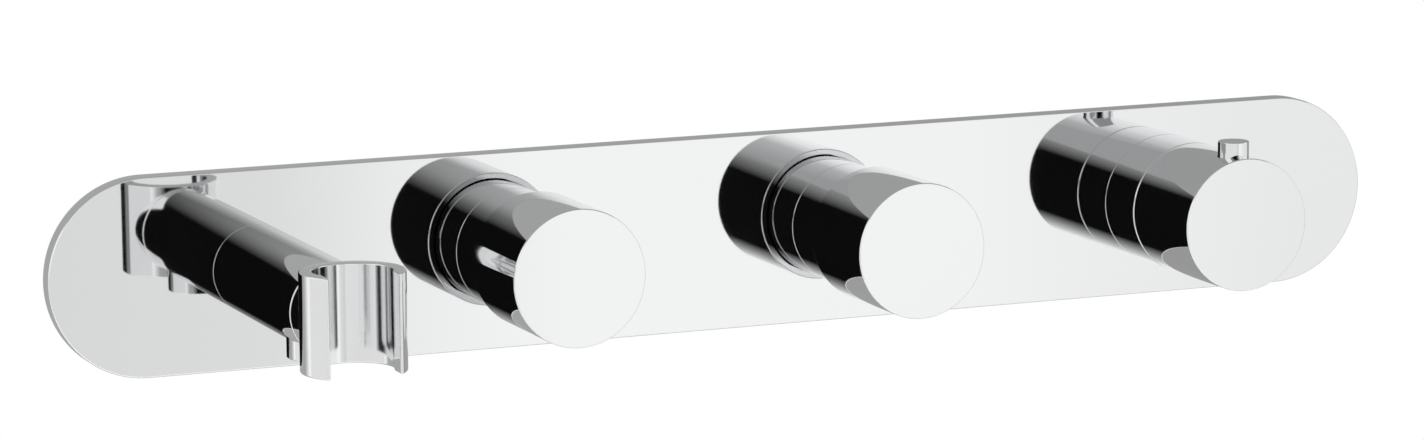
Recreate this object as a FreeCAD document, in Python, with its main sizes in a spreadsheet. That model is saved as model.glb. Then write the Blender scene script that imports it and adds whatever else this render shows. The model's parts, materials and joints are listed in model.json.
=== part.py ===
import FreeCAD, Part
import Sketcher
import math
import os

# Thermostatic shower valve for concealed fitting, in millimetres.
# +X runs to the right along the cover plate, +Y into the wall, +Z up.
# The origin is the centre of the cover plate's back rim, on the finished wall.

SIZES = {
    # cover plate
    "plate_length": 480.0,
    "plate_height": 66.0,
    "plate_thick": 6.5,
    "plate_skin": 2.5,
    "plate_rim": 2.5,
    "plate_round": 0.6,
    "seal_width": 4.0,
    # places along the plate
    "arm_from_end": 70.0,
    "arm_to_left": 89.5,
    "thermostat_from_end": 78.0,
    # handles and the sleeves behind them
    "handle_dia": 45.5,
    "handle_reach": 60.5,
    "handle_front_wall": 3.0,
    "handle_cavity_dia": 36.0,
    "handle_bevel": 0.4,
    "sleeve_length": 21.2,
    "sleeve_wall": 2.2,
    "sleeve_web": 3.0,
    "neck_dia": 41.0,
    "neck_overlap": 6.0,
    "neck_room": 8.0,
    "nut_dia": 30.0,
    "thermo_nut_dia": 34.0,
    "nut_thick": 5.0,
    # clearances
    "fit_gap": 0.1,
    "run_fit": 0.05,
    "run_gap": 0.4,
    "joint_gap": 0.3,
    "hole_gap": 1.0,
    # handle insert, its boss in the handle and the grub screw
    "insert_dia": 17.0,
    "insert_flange_dia": 21.0,
    "insert_flange_thick": 3.0,
    "insert_length": 26.0,
    "boss_dia": 22.0,
    "boss_length": 24.0,
    "drive_dia": 9.0,
    "drive_flat": 3.2,
    "drive_length": 20.0,
    "screw_dia": 4.0,
    "screw_length": 5.0,
    "screw_hex": 1.15,
    "screw_hex_depth": 2.0,
    "screw_from_front": 15.0,
    # safety button on the thermostat handle
    "button_dia": 10.7,
    "button_flange_dia": 12.6,
    "button_flange_thick": 1.3,
    "button_proud": 4.85,
    "button_bevel": 0.4,
    "button_from_front": 9.8,
    "button_pocket_dia": 8.4,
    "button_spring_dia": 7.8,
    "button_spring_length": 11.9,
    "button_seat_depth": 1.0,
    "button_spring_wall": 1.0,
    # stop ring round the thermostat cartridge's nose
    "stop_ring_dia": 35.0,
    "stop_ring_thick": 5.0,
    "stop_ring_back": 1.0,
    "stop_tooth_height": 7.0,
    "stop_tooth_dia": 28.0,
    "stop_lug_width": 5.0,
    "stop_lug_reach": 17.0,
    "hot_turn": 80.0,
    "cold_turn": 130.0,
    "stop_margin": 12.0,
    # water nipple and holder arm
    "arm_dia": 29.6,
    "arm_length": 80.3,
    "arm_water_dia": 12.0,
    "nipple_dia": 20.8,
    "nipple_bore": 13.0,
    "nipple_in_arm": 14.0,
    "nipple_in_port": 30.0,
    "outlet_from_front": 15.6,
    "outlet_dia": 21.2,
    "outlet_proud": 2.4,
    "outlet_seat_z": 7.4,
    "outlet_web": 2.0,
    "thread_half_inch_dia": 18.63,
    "outlet_neck_dia": 10.0,
    # hand-shower holder
    "holder_gap": 0.2,
    "holder_dia": 33.4,
    "holder_height": 31.7,
    "holder_bore": 25.0,
    "holder_slot": 22.7,
    "holder_bevel": 0.4,
    "washer_thick": 0.8,
    "washer_inset": 0.2,
    "spigot_dia": 10.0,
    "spigot_length": 8.2,
    "spigot_groove_dia": 7.2,
    "spigot_groove_start": 2.0,
    "spigot_groove_width": 2.6,
    "lock_screw_dia": 3.0,
    "lock_screw_length": 8.5,
    "lock_dog_dia": 2.0,
    # water blocks behind the wall
    "block_dia": 34.0,
    "block_front": 2.0,
    "block_back": 88.0,
    "gallery_y": 74.0,
    "outlet_y": 47.0,
    "water_bore": 14.0,
    "boss_pipe_dia": 24.0,
    "boss_pipe_reach": 26.0,
    "socket_depth": 10.0,
    "pipe_dia": 18.0,
    "pipe_seal_from_end": 5.0,
    "pipe_seal_minor": 0.6,
    "port_bore": 21.0,
    "seat_y": 61.5,
    "seat_bore": 11.5,
    "headwork_bore": 20.0,
    "flange_seat_y": 8.0,
    "headwork_flange_dia": 28.0,
    "top_outlet_height": 42.0,
    "union_dia": 30.0,
    "union_depth": 16.0,
    # quarter-turn headworks
    "headwork_nose_dia": 22.0,
    "headwork_nose_room": 13.0,
    "stem_dia": 10.0,
    "chamber_dia": 16.0,
    "chamber_depth": 18.0,
    "side_port_dia": 6.0,
    "disc_thick": 3.0,
    "disc_hole": 4.0,
    "disc_hole_radius": 4.2,
    "disc_slot": 1.2,
    "drive_bar_width": 8.0,
    "drive_bar_thick": 2.0,
    "seat_seal_thick": 1.5,
    "stem_seal_y": 12.0,
    "seal_minor": 0.9,
    # thermostat block and cartridge
    "thermo_block_dia": 52.0,
    "thermo_block_front": 1.0,
    "thermo_bore": 36.0,
    "thermo_bore_end": 84.0,
    "thermo_seat_dia": 42.2,
    "thermo_seat_y": 10.0,
    "thermo_flange_thick": 4.0,
    "thermo_nose_dia": 26.0,
    "thermo_nose_room": 1.0,
    "thermo_boss_reach": 36.0,
    "cartridge_chamber": 24.0,
    "chamber_start": 22.0,
    "hot_y": 50.0,
    "cold_y": 34.0,
    "cartridge_port": 7.0,
    "cartridge_groove": 1.5,
    "temp_stem_dia": 12.0,
    "temp_flange_dia": 18.0,
    "temp_flange_thick": 3.0,
    "temp_bore": 8.0,
    "temp_bore_depth": 17.0,
    "wax_rod_dia": 7.8,
    "wax_rod_reach": 15.0,
    "wax_dia": 12.0,
    "wax_start": 30.0,
    "wax_end": 62.0,
    "wax_pin_dia": 4.0,
    "wax_pin_length": 8.0,
    "piston_start": 38.0,
    "piston_length": 8.0,
    "piston_hole": 3.2,
    "piston_hole_radius": 9.0,
    "return_spring_dia": 20.0,
    "return_spring_wall": 1.6,
    "return_spring_gap": 1.8,
    "spring_seat_thick": 4.0,
    "spring_seat_bore": 14.0,
    # inlets, strainers and check valves
    "inlet_offset": 30.0,
    "inlet_dia": 28.0,
    "inlet_bottom": 62.0,
    "inlet_top": 10.0,
    "inlet_cap": 4.0,
    "inlet_cross_bore": 10.0,
    "strainer_thick": 1.5,
    "strainer_hole": 1.8,
    "strainer_pitch": 3.1,
    "check_dia": 16.8,
    "check_length": 23.5,
    "check_wall": 1.6,
    "check_web": 2.0,
    "check_seat_hole": 9.0,
    "check_guide_from_top": 4.0,
    "poppet_dia": 11.6,
    "poppet_thick": 2.0,
    "poppet_stem_dia": 3.0,
    "poppet_stem_past": 0.5,
    "check_spring_dia": 8.4,
    "check_spring_wall": 0.8,
    "guide_hole": 3.4,
    "guide_hole_radius": 4.2,
    # wall bracket
    "bracket_past_arm": 45.0,
    "bracket_past_thermostat": 68.0,
    "bracket_height": 58.0,
    "bracket_thick": 2.5,
    "wall_hole_dia": 6.4,
    "wall_hole_edge": 10.0,
    "wall_hole_rise": 13.0,
    "bracket_screw_dia": 4.8,
    "bracket_screw_depth": 9.0,
    "bracket_screw_rise": 12.0,
    "thermo_screw_rise": 22.0,
    "bracket_head_dia": 9.0,
    "bracket_head_thick": 3.0,
}

GUIDE_HOLES = 4
PISTON_HOLES = 6
MESH_HOLES = 6

DOC = FreeCAD.newDocument("thermostatic_shower_valve")
SHEET = DOC.addObject("Spreadsheet::Sheet", "Sizes")
PIECES = []


def fill_sheet():
    """Write every driving size into the sheet, one row each."""
    for row, (name, value) in enumerate(SIZES.items(), start=1):
        SHEET.set("A%d" % row, name)
        SHEET.set("B%d" % row, str(value))
        SHEET.setAlias("B%d" % row, name)
    DOC.recompute()


class Length:
    """A size in mm, with the sheet expression that gives it."""

    def __init__(self, value, text):
        self.value = value
        self.text = text

    def __add__(self, other):
        other = as_length(other)
        return Length(self.value + other.value, "(%s + %s)" % (self.text, other.text))

    def __sub__(self, other):
        other = as_length(other)
        return Length(self.value - other.value, "(%s - %s)" % (self.text, other.text))

    def __neg__(self):
        return Length(-self.value, "(0 - %s)" % self.text)

    def __truediv__(self, number):
        return Length(self.value / number, "(%s / %s)" % (self.text, number))

    def __mul__(self, number):
        return Length(self.value * number, "(%s * %s)" % (self.text, number))


def as_length(number):
    """A Length stays as it is, and a plain number becomes one."""
    return number if isinstance(number, Length) else Length(float(number), str(number))


def size(name):
    """The named size, as the sheet holds it."""
    return Length(float(SHEET.get(name)), "Sizes.%s" % name)


def half(name):
    """Half the named size: the radius of a diameter."""
    return size(name) / 2


ZERO = as_length(0)
TURN_TO_FRONT = FreeCAD.Rotation(FreeCAD.Vector(1, 0, 0), 90)
TURN_TO_WALL = FreeCAD.Rotation(FreeCAD.Vector(1, 0, 0), -90)
TURN_TO_RIGHT = FreeCAD.Rotation(FreeCAD.Vector(0, 1, 0), 90)
UPRIGHT = FreeCAD.Rotation()


def bind(item, name, length):
    """Bind a property to its size expression."""
    item.setExpression(name, as_length(length).text)


def put(item, rotation, place):
    """Give an object its turn and its bound place."""
    item.Placement = FreeCAD.Placement(FreeCAD.Vector(), rotation)
    for axis, length in zip("xyz", place):
        bind(item, "Placement.Base.%s" % axis, length)
    return item


def bar(name, along, radius, start, end, place):
    """A round bar along one axis from start to end; place holds the two other coordinates."""
    item = DOC.addObject("Part::Cylinder", name)
    bind(item, "Radius", radius)
    bind(item, "Height", as_length(end) - start)
    turn = {"x": TURN_TO_RIGHT, "y": TURN_TO_WALL, "z": UPRIGHT}[along]
    spot = list(place)
    spot.insert("xyz".index(along), start)
    return put(item, turn, spot)


def brick(name, low, high):
    """A box between two corners."""
    item = DOC.addObject("Part::Box", name)
    for side, near, far in zip(("Length", "Width", "Height"), low, high):
        bind(item, side, as_length(far) - near)
    return put(item, UPRIGHT, low)


def o_ring(name, along, middle_radius, cord_radius, place):
    """A round-section ring about one axis."""
    item = DOC.addObject("Part::Torus", name)
    bind(item, "Radius1", middle_radius)
    bind(item, "Radius2", cord_radius)
    turn = {"x": TURN_TO_RIGHT, "y": TURN_TO_WALL, "z": UPRIGHT}[along]
    return put(item, turn, place)


def fuse(name, items):
    """Join several solids into one."""
    if len(items) == 1:
        return items[0]
    item = DOC.addObject("Part::MultiFuse", name)
    item.Shapes = items
    item.Refine = True
    return item


def cut(name, base, tools):
    """Take the tools out of the base."""
    item = DOC.addObject("Part::Cut", name)
    item.Base = base
    item.Tool = fuse(name + "_tools", tools)
    item.Refine = True
    return item


def ring(name, along, outer, inner, start, end, place):
    """A plain ring or tube."""
    solid = bar(name + "_outer", along, outer, start, end, place)
    hole = bar(name + "_hole", along, inner, start, end, place)
    return cut(name, solid, [hole])


def group(name, items):
    """Separate solids that share one node."""
    item = DOC.addObject("Part::Compound", name)
    item.Links = items
    return item


def turned(name, profile, turn, place):
    """A body turned about its own axis.

    profile lists (radius, distance along the axis from the rear plane), all of them zero or more.
    """
    body = DOC.addObject("PartDesign::Body", name)
    sketch = body.newObject("Sketcher::SketchObject", name + "_profile")
    plane = [item for item in body.Origin.OriginFeatures if item.Role == "XZ_Plane"][0]
    sketch.AttachmentSupport = (plane, [""])
    sketch.MapMode = "FlatFace"
    points = [FreeCAD.Vector(radius.value, along.value, 0) for radius, along in profile]
    import_lines(sketch, points)
    for number, (radius, along) in enumerate(profile):
        hold(sketch, number, "DistanceX", -2, radius)
        hold(sketch, number, "DistanceY", -1, along)
    solid = body.newObject("PartDesign::Revolution", name + "_turn")
    solid.Profile = sketch
    solid.ReferenceAxis = (sketch, ["V_Axis"])
    solid.Angle = 360.0
    body.Tip = solid
    return put(body, turn, place)


def import_lines(sketch, points):
    """Draw a closed outline of straight lines through the points."""
    count = len(points)
    for number in range(count):
        sketch.addGeometry(Part.LineSegment(points[number], points[(number + 1) % count]))
    for number in range(count):
        following = (number + 1) % count
        sketch.addConstraint(Sketcher.Constraint("Coincident", number, 2, following, 1))


def hold(sketch, number, kind, axis, length):
    """Hold one outline point at its distance, or on the axis where that is zero."""
    if length is ZERO:
        sketch.addConstraint(Sketcher.Constraint("PointOnObject", number, 1, axis))
        return
    place = sketch.addConstraint(Sketcher.Constraint(kind, -1, 1, number, 1, length.value))
    sketch.setExpression("Constraints[%d]" % place, length.text)


def keep(label, item):
    """Name a finished piece; its label names its node and its file."""
    item.Label = label
    PIECES.append(item)
    return item


fill_sheet()

# Planes along Y that several pieces share.
FRONT = -size("plate_thick")
JOINT = FRONT - size("sleeve_length")
HANDLE_BACK = JOINT - size("joint_gap")
HANDLE_FRONT = FRONT - size("handle_reach")
HANDLE_LENGTH = size("handle_reach") - size("sleeve_length") - size("joint_gap")
CAVITY_END = HANDLE_LENGTH - size("handle_front_wall")
ARM_FRONT = FRONT - size("arm_length")
HOLDER_Y = ARM_FRONT - size("washer_thick") - size("holder_gap") - half("holder_dia")
OUTLET_Y = ARM_FRONT + size("outlet_from_front")
INSERT_BACK = HANDLE_BACK - CAVITY_END + size("boss_length") + size("insert_flange_thick")
DRIVE_FRONT = INSERT_BACK - size("insert_flange_thick") - size("drive_length")
NOSE_FRONT = INSERT_BACK + size("headwork_nose_room")
THERMO_NOSE_FRONT = INSERT_BACK + size("thermo_nose_room")
GAP = size("fit_gap")
RUN = size("run_fit")

# Each control's place along the plate, tied to the plate's two ends.
ARM_X = size("arm_from_end") - size("plate_length") / 2
LEFT_X = ARM_X + size("arm_to_left")
THERMOSTAT_X = size("plate_length") / 2 - size("thermostat_from_end")
AXES = {
    "arm": ARM_X,
    "left": LEFT_X,
    "middle": (LEFT_X + THERMOSTAT_X) / 2,
    "thermostat": THERMOSTAT_X,
}


def stadium(name, length, height, start, end):
    """A flat bar with semicircular ends, centred on the origin."""
    reach = (length - height) / 2
    parts = [brick(name + "_middle", (-reach, start, -height / 2), (reach, end, height / 2))]
    for side, x in (("left", -reach), ("right", reach)):
        parts.append(bar("%s_%s" % (name, side), "y", height / 2, start, end, (x, ZERO)))
    return fuse(name, parts)


def plate_and_seal():
    """The cover plate, hollow behind, and the soft frame that seals it to the wall."""
    length = size("plate_length")
    height = size("plate_height")
    rim = size("plate_rim")
    recess = FRONT + size("plate_skin")
    outside = stadium("plate_outside", length, height, FRONT, ZERO)
    inside = stadium("plate_inside", length - rim * 2, height - rim * 2, recess, ZERO)
    holes = [inside]
    for side, radius in (
        ("arm", half("nipple_dia")),
        ("left", half("headwork_nose_dia")),
        ("middle", half("headwork_nose_dia")),
        ("thermostat", half("thermo_nose_dia")),
    ):
        hole = radius + size("hole_gap")
        holes.append(bar("plate_hole_" + side, "y", hole, FRONT, ZERO, (AXES[side], ZERO)))
    plain = cut("plate_plain", outside, holes)
    DOC.recompute()
    plate = DOC.addObject("Part::Fillet", "plate_rounded")
    plate.Base = plain
    round_radius = size("plate_round").value
    plate.Edges = [(number, round_radius, round_radius) for number in rim_edges(plain.Shape)]
    keep("cover_plate", plate)

    edge = rim + GAP
    seal_edge = edge + size("seal_width")
    seal = stadium("seal_outside", length - edge * 2, height - edge * 2, recess, ZERO)
    middle = stadium("seal_inside", length - seal_edge * 2, height - seal_edge * 2, recess, ZERO)
    keep("plate_seal", cut("seal_frame", seal, [middle]))


def rim_edges(shape):
    """Numbers of the edges round the front of the plate's outline."""
    reach = size("plate_height").value / 2
    limit = size("plate_length").value / 2 - reach
    found = []
    for number, edge in enumerate(shape.Edges, start=1):
        point = edge.valueAt((edge.FirstParameter + edge.LastParameter) / 2)
        off_line = math.hypot(max(abs(point.x) - limit, 0), point.z)
        at_front = abs(point.y - FRONT.value) < 1e-4
        if at_front and abs(off_line - reach) < 1e-4:
            found.append(number)
    return found


def holder_arm():
    """The arm: water way from the wall nipple down to the hose outlet, and the holder's pivot."""
    x = AXES["arm"]
    water = half("arm_water_dia")
    outlet = half("outlet_dia") + GAP
    solid = bar("arm_bar", "y", half("arm_dia"), ARM_FRONT, FRONT, (x, ZERO))
    nipple_end = FRONT - size("nipple_in_arm")
    spigot_end = ARM_FRONT + size("spigot_length") + size("joint_gap")
    lock_y = ARM_FRONT + size("spigot_groove_start") + size("spigot_groove_width") / 2
    tools = [
        bar("arm_nipple_bore", "y", half("port_bore"), nipple_end, FRONT, (x, ZERO)),
        bar("arm_water", "y", water, OUTLET_Y - water, FRONT, (x, ZERO)),
        bar("arm_drop", "z", half("outlet_neck_dia"), -size("outlet_seat_z"), ZERO, (x, OUTLET_Y)),
        bar("arm_outlet_seat", "z", outlet, -size("arm_dia"), -size("outlet_seat_z"), (x, OUTLET_Y)),
        bar("arm_pivot", "y", half("spigot_dia") + GAP, ARM_FRONT, spigot_end, (x, ZERO)),
        bar("arm_lock", "z", half("lock_screw_dia") + RUN, -size("arm_dia"), ZERO, (x, lock_y)),
    ]
    keep("holder_arm", cut("arm_bored", solid, tools))
    outlet_bush(x)
    lock_screw(x, lock_y)
    washer_radius = half("arm_dia") - size("washer_inset")
    washer_front = ARM_FRONT - size("washer_thick")
    hole = half("spigot_dia") + size("run_gap")
    washer = ring("washer", "y", washer_radius, hole, washer_front, ARM_FRONT, (x, ZERO))
    keep("swivel_washer", washer)


def outlet_bush(x):
    """The threaded bush under the arm that takes the shower hose."""
    bottom = half("arm_dia") + size("outlet_proud")
    height = bottom - size("outlet_seat_z")
    mouth = height - size("outlet_web")
    neck = half("outlet_neck_dia")
    thread = half("thread_half_inch_dia")
    rim = half("outlet_dia")
    profile = [
        (thread, ZERO),
        (rim, ZERO),
        (rim, height),
        (neck, height),
        (neck, mouth),
        (thread, mouth),
    ]
    keep("hose_outlet_bush", turned("outlet_bush", profile, UPRIGHT, (x, OUTLET_Y, -bottom)))


def lock_screw(x, y):
    """The grub screw that holds the swivel's spigot by its groove."""
    groove = half("spigot_groove_dia") + size("joint_gap")
    shoulder = half("spigot_dia") + size("joint_gap")
    bottom = groove + size("lock_screw_length")
    dog = bottom - groove
    body = bottom - shoulder
    profile = [
        (ZERO, ZERO),
        (half("lock_screw_dia"), ZERO),
        (half("lock_screw_dia"), body),
        (half("lock_dog_dia"), body),
        (half("lock_dog_dia"), dog),
        (ZERO, dog),
    ]
    keep("swivel_lock_screw", turned("lock_screw", profile, UPRIGHT, (x, y, -bottom)))


def hand_shower_holder():
    """The upright C-shaped holder, its stub and the spigot that pivots in the arm."""
    x = AXES["arm"]
    stub_back = ARM_FRONT - size("washer_thick") - RUN
    top = half("holder_height")
    bevel = size("holder_bevel")
    outer = half("holder_dia")
    bore = half("holder_bore")
    profile = [
        (ZERO, ZERO),
        (outer - bevel, ZERO),
        (outer, bevel),
        (outer, size("holder_height") - bevel),
        (outer - bevel, size("holder_height")),
        (ZERO, size("holder_height")),
    ]
    column = turned("holder_column", profile, UPRIGHT, (x, HOLDER_Y, -top))
    stub = bar("holder_stub", "y", half("arm_dia"), HOLDER_Y, stub_back, (x, ZERO))
    spigot_end = ARM_FRONT + size("spigot_length")
    spigot = bar("holder_spigot", "y", half("spigot_dia"), stub_back, spigot_end, (x, ZERO))
    solid = fuse("holder_solid", [column, stub, spigot])
    groove_start = ARM_FRONT + size("spigot_groove_start")
    groove_end = groove_start + size("spigot_groove_width")
    groove = half("spigot_groove_dia")
    seal_y = seal_place()
    seal_groove = half("spigot_dia") - size("seal_minor") * 2 + RUN
    slot = size("holder_slot") / 2
    tools = [
        bar("holder_hole", "z", bore, -top, top, (x, HOLDER_Y)),
        brick("holder_mouth", (x - slot, HOLDER_Y - outer, -top), (x + slot, HOLDER_Y, top)),
        ring("lock_groove", "y", outer, groove, groove_start, groove_end, (x, ZERO)),
        ring(
            "seal_groove",
            "y",
            outer,
            seal_groove,
            seal_y - size("seal_minor"),
            seal_y + size("seal_minor"),
            (x, ZERO),
        ),
    ]
    keep("hand_shower_holder", cut("holder_cut", solid, tools))
    seal_radius = half("spigot_dia") - size("seal_minor") + RUN
    seal = o_ring("friction_ring", "y", seal_radius, size("seal_minor"), (x, seal_y, ZERO))
    keep("swivel_friction_ring", seal)


def seal_place():
    """Where the spigot's friction ring lies."""
    behind_groove = size("spigot_groove_start") + size("spigot_groove_width")
    return ARM_FRONT + (behind_groove + size("spigot_length")) / 2


def neck_sleeve(label, x, nose_radius, outer, end_length):
    """A fixed sleeve: full size against the plate, its spigot reaching into the handle."""
    hole = nose_radius + GAP
    neck = half("neck_dia")
    bore = neck - size("sleeve_wall")
    web = size("sleeve_web")
    profile = [(hole, ZERO), (outer, ZERO)]
    if outer.value > neck.value:
        profile += [(outer, size("sleeve_length")), (neck, size("sleeve_length"))]
    profile += [(neck, end_length), (bore, end_length), (bore, web), (hole, web)]
    keep(label, turned(label + "_body", profile, TURN_TO_FRONT, (x, FRONT, ZERO)))


def sleeves():
    """The three sleeves and the nuts that press them on the plate."""
    end_length = size("sleeve_length") + size("neck_overlap")
    nose = half("headwork_nose_dia")
    neck = half("neck_dia")
    neck_sleeve("left_neck_sleeve", AXES["left"], nose, neck, end_length)
    neck_sleeve("middle_neck_sleeve", AXES["middle"], nose, neck, end_length)
    thermo_nose = half("thermo_nose_dia")
    handle = half("handle_dia")
    neck_sleeve("thermostat_sleeve", AXES["thermostat"], thermo_nose, handle, end_length)
    web = FRONT - size("sleeve_web")
    front = web - size("nut_thick")
    nuts = []
    for side, radius, rim in (
        ("left", nose, half("nut_dia")),
        ("middle", nose, half("nut_dia")),
        ("thermostat", thermo_nose, half("thermo_nut_dia")),
    ):
        place = (AXES[side], ZERO)
        nuts.append(ring(side + "_nut", "y", rim, radius + GAP, front, web, place))
    keep("neck_sleeve_nuts", group("neck_nut_set", nuts[:2]))
    keep("thermostat_sleeve_nut", nuts[2])


def drive_flat_cut(name, base, x, clearance, start, end):
    """Take the flat off a drive end, or off the bar that cuts its hole."""
    flat = size("drive_flat") + clearance
    reach = half("drive_dia") + clearance + 1
    low = (x - reach, start, flat)
    high = (x + reach, end, reach)
    return cut(name, base, [brick(name + "_side", low, high)])


def handle(side, extra_tools):
    """A turned handle with its insert and grub screw."""
    x = AXES[side]
    outer = half("handle_dia")
    bevel = size("handle_bevel")
    cavity = half("handle_cavity_dia")
    boss = half("boss_dia")
    boss_back = CAVITY_END - size("boss_length")
    socket = half("insert_dia") + GAP
    mouth = half("neck_dia") + size("run_gap")
    room = size("neck_room")
    profile = [
        (mouth, ZERO),
        (outer, ZERO),
        (outer, HANDLE_LENGTH - bevel),
        (outer - bevel, HANDLE_LENGTH),
        (ZERO, HANDLE_LENGTH),
        (ZERO, CAVITY_END),
        (socket, CAVITY_END),
        (socket, boss_back),
        (boss, boss_back),
        (boss, CAVITY_END),
        (cavity, CAVITY_END),
        (cavity, room),
        (mouth, room),
    ]
    name = side + "_handle"
    solid = turned(name + "_turned", profile, TURN_TO_FRONT, (x, HANDLE_BACK, ZERO))
    screw_y = HANDLE_FRONT + size("screw_from_front")
    screw_hole = half("screw_dia") + GAP
    tools = [bar(name + "_screw_way", "z", screw_hole, -outer, ZERO, (x, screw_y))]
    keep(name, cut(name + "_cut", solid, tools + extra_tools))
    handle_insert(side, x)
    grub_screw(side, x, screw_y)


def handle_insert(side, x):
    """The insert that carries the handle on its spindle."""
    radius = half("insert_dia")
    flange = half("insert_flange_dia")
    thick = size("insert_flange_thick")
    length = size("insert_length")
    bore = half("drive_dia") + GAP
    name = side + "_insert"
    profile = [
        (ZERO, ZERO),
        (flange, ZERO),
        (flange, thick),
        (radius, thick),
        (radius, length),
        (ZERO, length),
    ]
    solid = turned(name + "_turned", profile, TURN_TO_FRONT, (x, INSERT_BACK, ZERO))
    if side == "thermostat":
        lug = size("stop_lug_width") / 2
        low = (x - lug, INSERT_BACK - thick, radius - 1)
        high = (x + lug, INSERT_BACK, size("stop_lug_reach"))
        solid = fuse(name + "_with_lug", [solid, brick(name + "_lug", low, high)])
    hole = bar(name + "_bore", "y", bore, DRIVE_FRONT - GAP, INSERT_BACK, (x, ZERO))
    shaped = drive_flat_cut(name + "_hole", hole, x, GAP, DRIVE_FRONT - GAP, INSERT_BACK)
    keep(side + "_handle_insert", cut(name + "_cut", solid, [shaped]))


def grub_screw(side, x, y):
    """The grub screw that fixes the handle on its insert, reached from below."""
    name = side + "_screw"
    top = -half("insert_dia") - GAP
    bottom = top - size("screw_length")
    solid = bar(name + "_bar", "z", half("screw_dia"), bottom, top, (x, y))
    socket = DOC.addObject("Part::Prism", name + "_hex")
    socket.Polygon = 6
    bind(socket, "Circumradius", size("screw_hex"))
    bind(socket, "Height", size("screw_hex_depth"))
    put(socket, UPRIGHT, (x, y, bottom))
    keep(side + "_handle_screw", cut(name + "_cut", solid, [socket]))


def headwork(side):
    """A quarter-turn headwork: body, spindle, seals and ceramic discs."""
    x = AXES[side]
    back = size("seat_y") - size("seat_seal_thick")
    flange_seat = back - size("flange_seat_y")
    flange_front = back - size("block_front")
    nose_front = back - NOSE_FRONT
    outer = half("headwork_bore") - GAP
    flange = half("headwork_flange_dia")
    nose = half("headwork_nose_dia")
    stem = half("stem_dia")
    chamber = half("chamber_dia")
    depth = size("chamber_depth")
    name = side + "_headwork"
    profile = [
        (chamber, ZERO),
        (outer, ZERO),
        (outer, flange_seat),
        (flange, flange_seat),
        (flange, flange_front),
        (nose, flange_front),
        (nose, nose_front),
        (stem, nose_front),
        (stem, depth),
        (chamber, depth),
    ]
    solid = turned(name + "_turned", profile, TURN_TO_FRONT, (x, back, ZERO))
    port = half("side_port_dia")
    port_y = size("outlet_y")
    reach = half("headwork_bore")
    ports = [
        bar(name + "_port_across", "x", port, x - reach, x + reach, (port_y, ZERO)),
        bar(name + "_port_up", "z", port, -reach, reach, (x, port_y)),
    ]
    keep(name, cut(name + "_cut", solid, ports))
    spindle(side, x, back)
    return ceramic_discs(side, x, back)


def spindle(side, x, back):
    """The spindle: a drive bar for the disc behind, a seal groove and the handle's drive in front."""
    name = side + "_spindle"
    disc_front = back - size("disc_thick") * 2
    bar_back = disc_front + size("disc_slot") - GAP
    bar_length = bar_back - disc_front + size("drive_bar_thick")
    stem = half("stem_dia") - RUN
    groove = stem - size("seal_minor") * 2
    seal_along = bar_back - size("stem_seal_y")
    drive_start = bar_back - INSERT_BACK
    end = bar_back - DRIVE_FRONT
    drive = half("drive_dia")
    minor = size("seal_minor")
    head = half("chamber_dia") - size("run_gap")
    profile = [
        (ZERO, ZERO),
        (head, ZERO),
        (head, bar_length),
        (stem, bar_length),
        (stem, seal_along - minor),
        (groove, seal_along - minor),
        (groove, seal_along + minor),
        (stem, seal_along + minor),
        (stem, drive_start),
        (drive, drive_start),
        (drive, end),
        (ZERO, end),
    ]
    solid = turned(name + "_turned", profile, TURN_TO_FRONT, (x, bar_back, ZERO))
    width = size("drive_bar_width") / 2
    bar_front = bar_back - bar_length
    tools = []
    for end_name, low, high in (("upper", width, head), ("lower", -head, -width)):
        corner = (x - head, bar_front, low)
        tools.append(brick(name + "_" + end_name, corner, (x + head, bar_back, high)))
    flat = size("drive_flat")
    tools.append(brick(name + "_flat", (x - drive, DRIVE_FRONT, flat), (x + drive, INSERT_BACK, drive)))
    keep(name, cut(name + "_cut", solid, tools))
    seal_radius = stem - minor + RUN / 2
    seal = o_ring(name + "_ring", "y", seal_radius, minor, (x, size("stem_seal_y"), ZERO))
    keep(side + "_spindle_seal", seal)


def ceramic_discs(side, x, back):
    """The turning disc with its drive slot; returns the fixed disc and its seat seal."""
    name = side + "_disc"
    thick = size("disc_thick")
    radius = half("chamber_dia") - GAP
    turning_radius = half("chamber_dia") - size("joint_gap")
    fixed_front = back - thick
    front = fixed_front - thick
    hole = half("disc_hole")
    offset = size("disc_hole_radius")
    slot = size("drive_bar_width") / 2 + GAP
    turning = bar(name + "_blank", "y", turning_radius, front, fixed_front, (x, ZERO))
    tools = [
        brick(
            name + "_slot",
            (x - radius, front, -slot),
            (x + radius, front + size("disc_slot"), slot),
        )
    ]
    for way, z in (("upper", offset), ("lower", -offset)):
        tools.append(bar("%s_%s" % (name, way), "y", hole, front, fixed_front, (x, z)))
    keep(side + "_turning_disc", cut(name + "_turning", turning, tools))
    fixed = bar(name + "_fixed_blank", "y", radius, fixed_front, back, (x, ZERO))
    holes = []
    for way, spot in (("right", x + offset), ("left", x - offset)):
        holes.append(bar("%s_%s" % (name, way), "y", hole, fixed_front, back, (spot, ZERO)))
    fixed_disc = cut(name + "_fixed", fixed, holes)
    seal = ring(side + "_seat", "y", radius, half("seat_bore"), back, size("seat_y"), (x, ZERO))
    return fixed_disc, seal


def side_boss(name, x, y, way):
    """A boss for a pipe, with its socket: returns the boss and the bars that bore it."""
    reach = size("boss_pipe_reach")
    inner = reach - size("socket_depth")
    socket = half("pipe_dia") + GAP
    return pipe_boss(name, x, y, way, reach, inner, socket)


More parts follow.
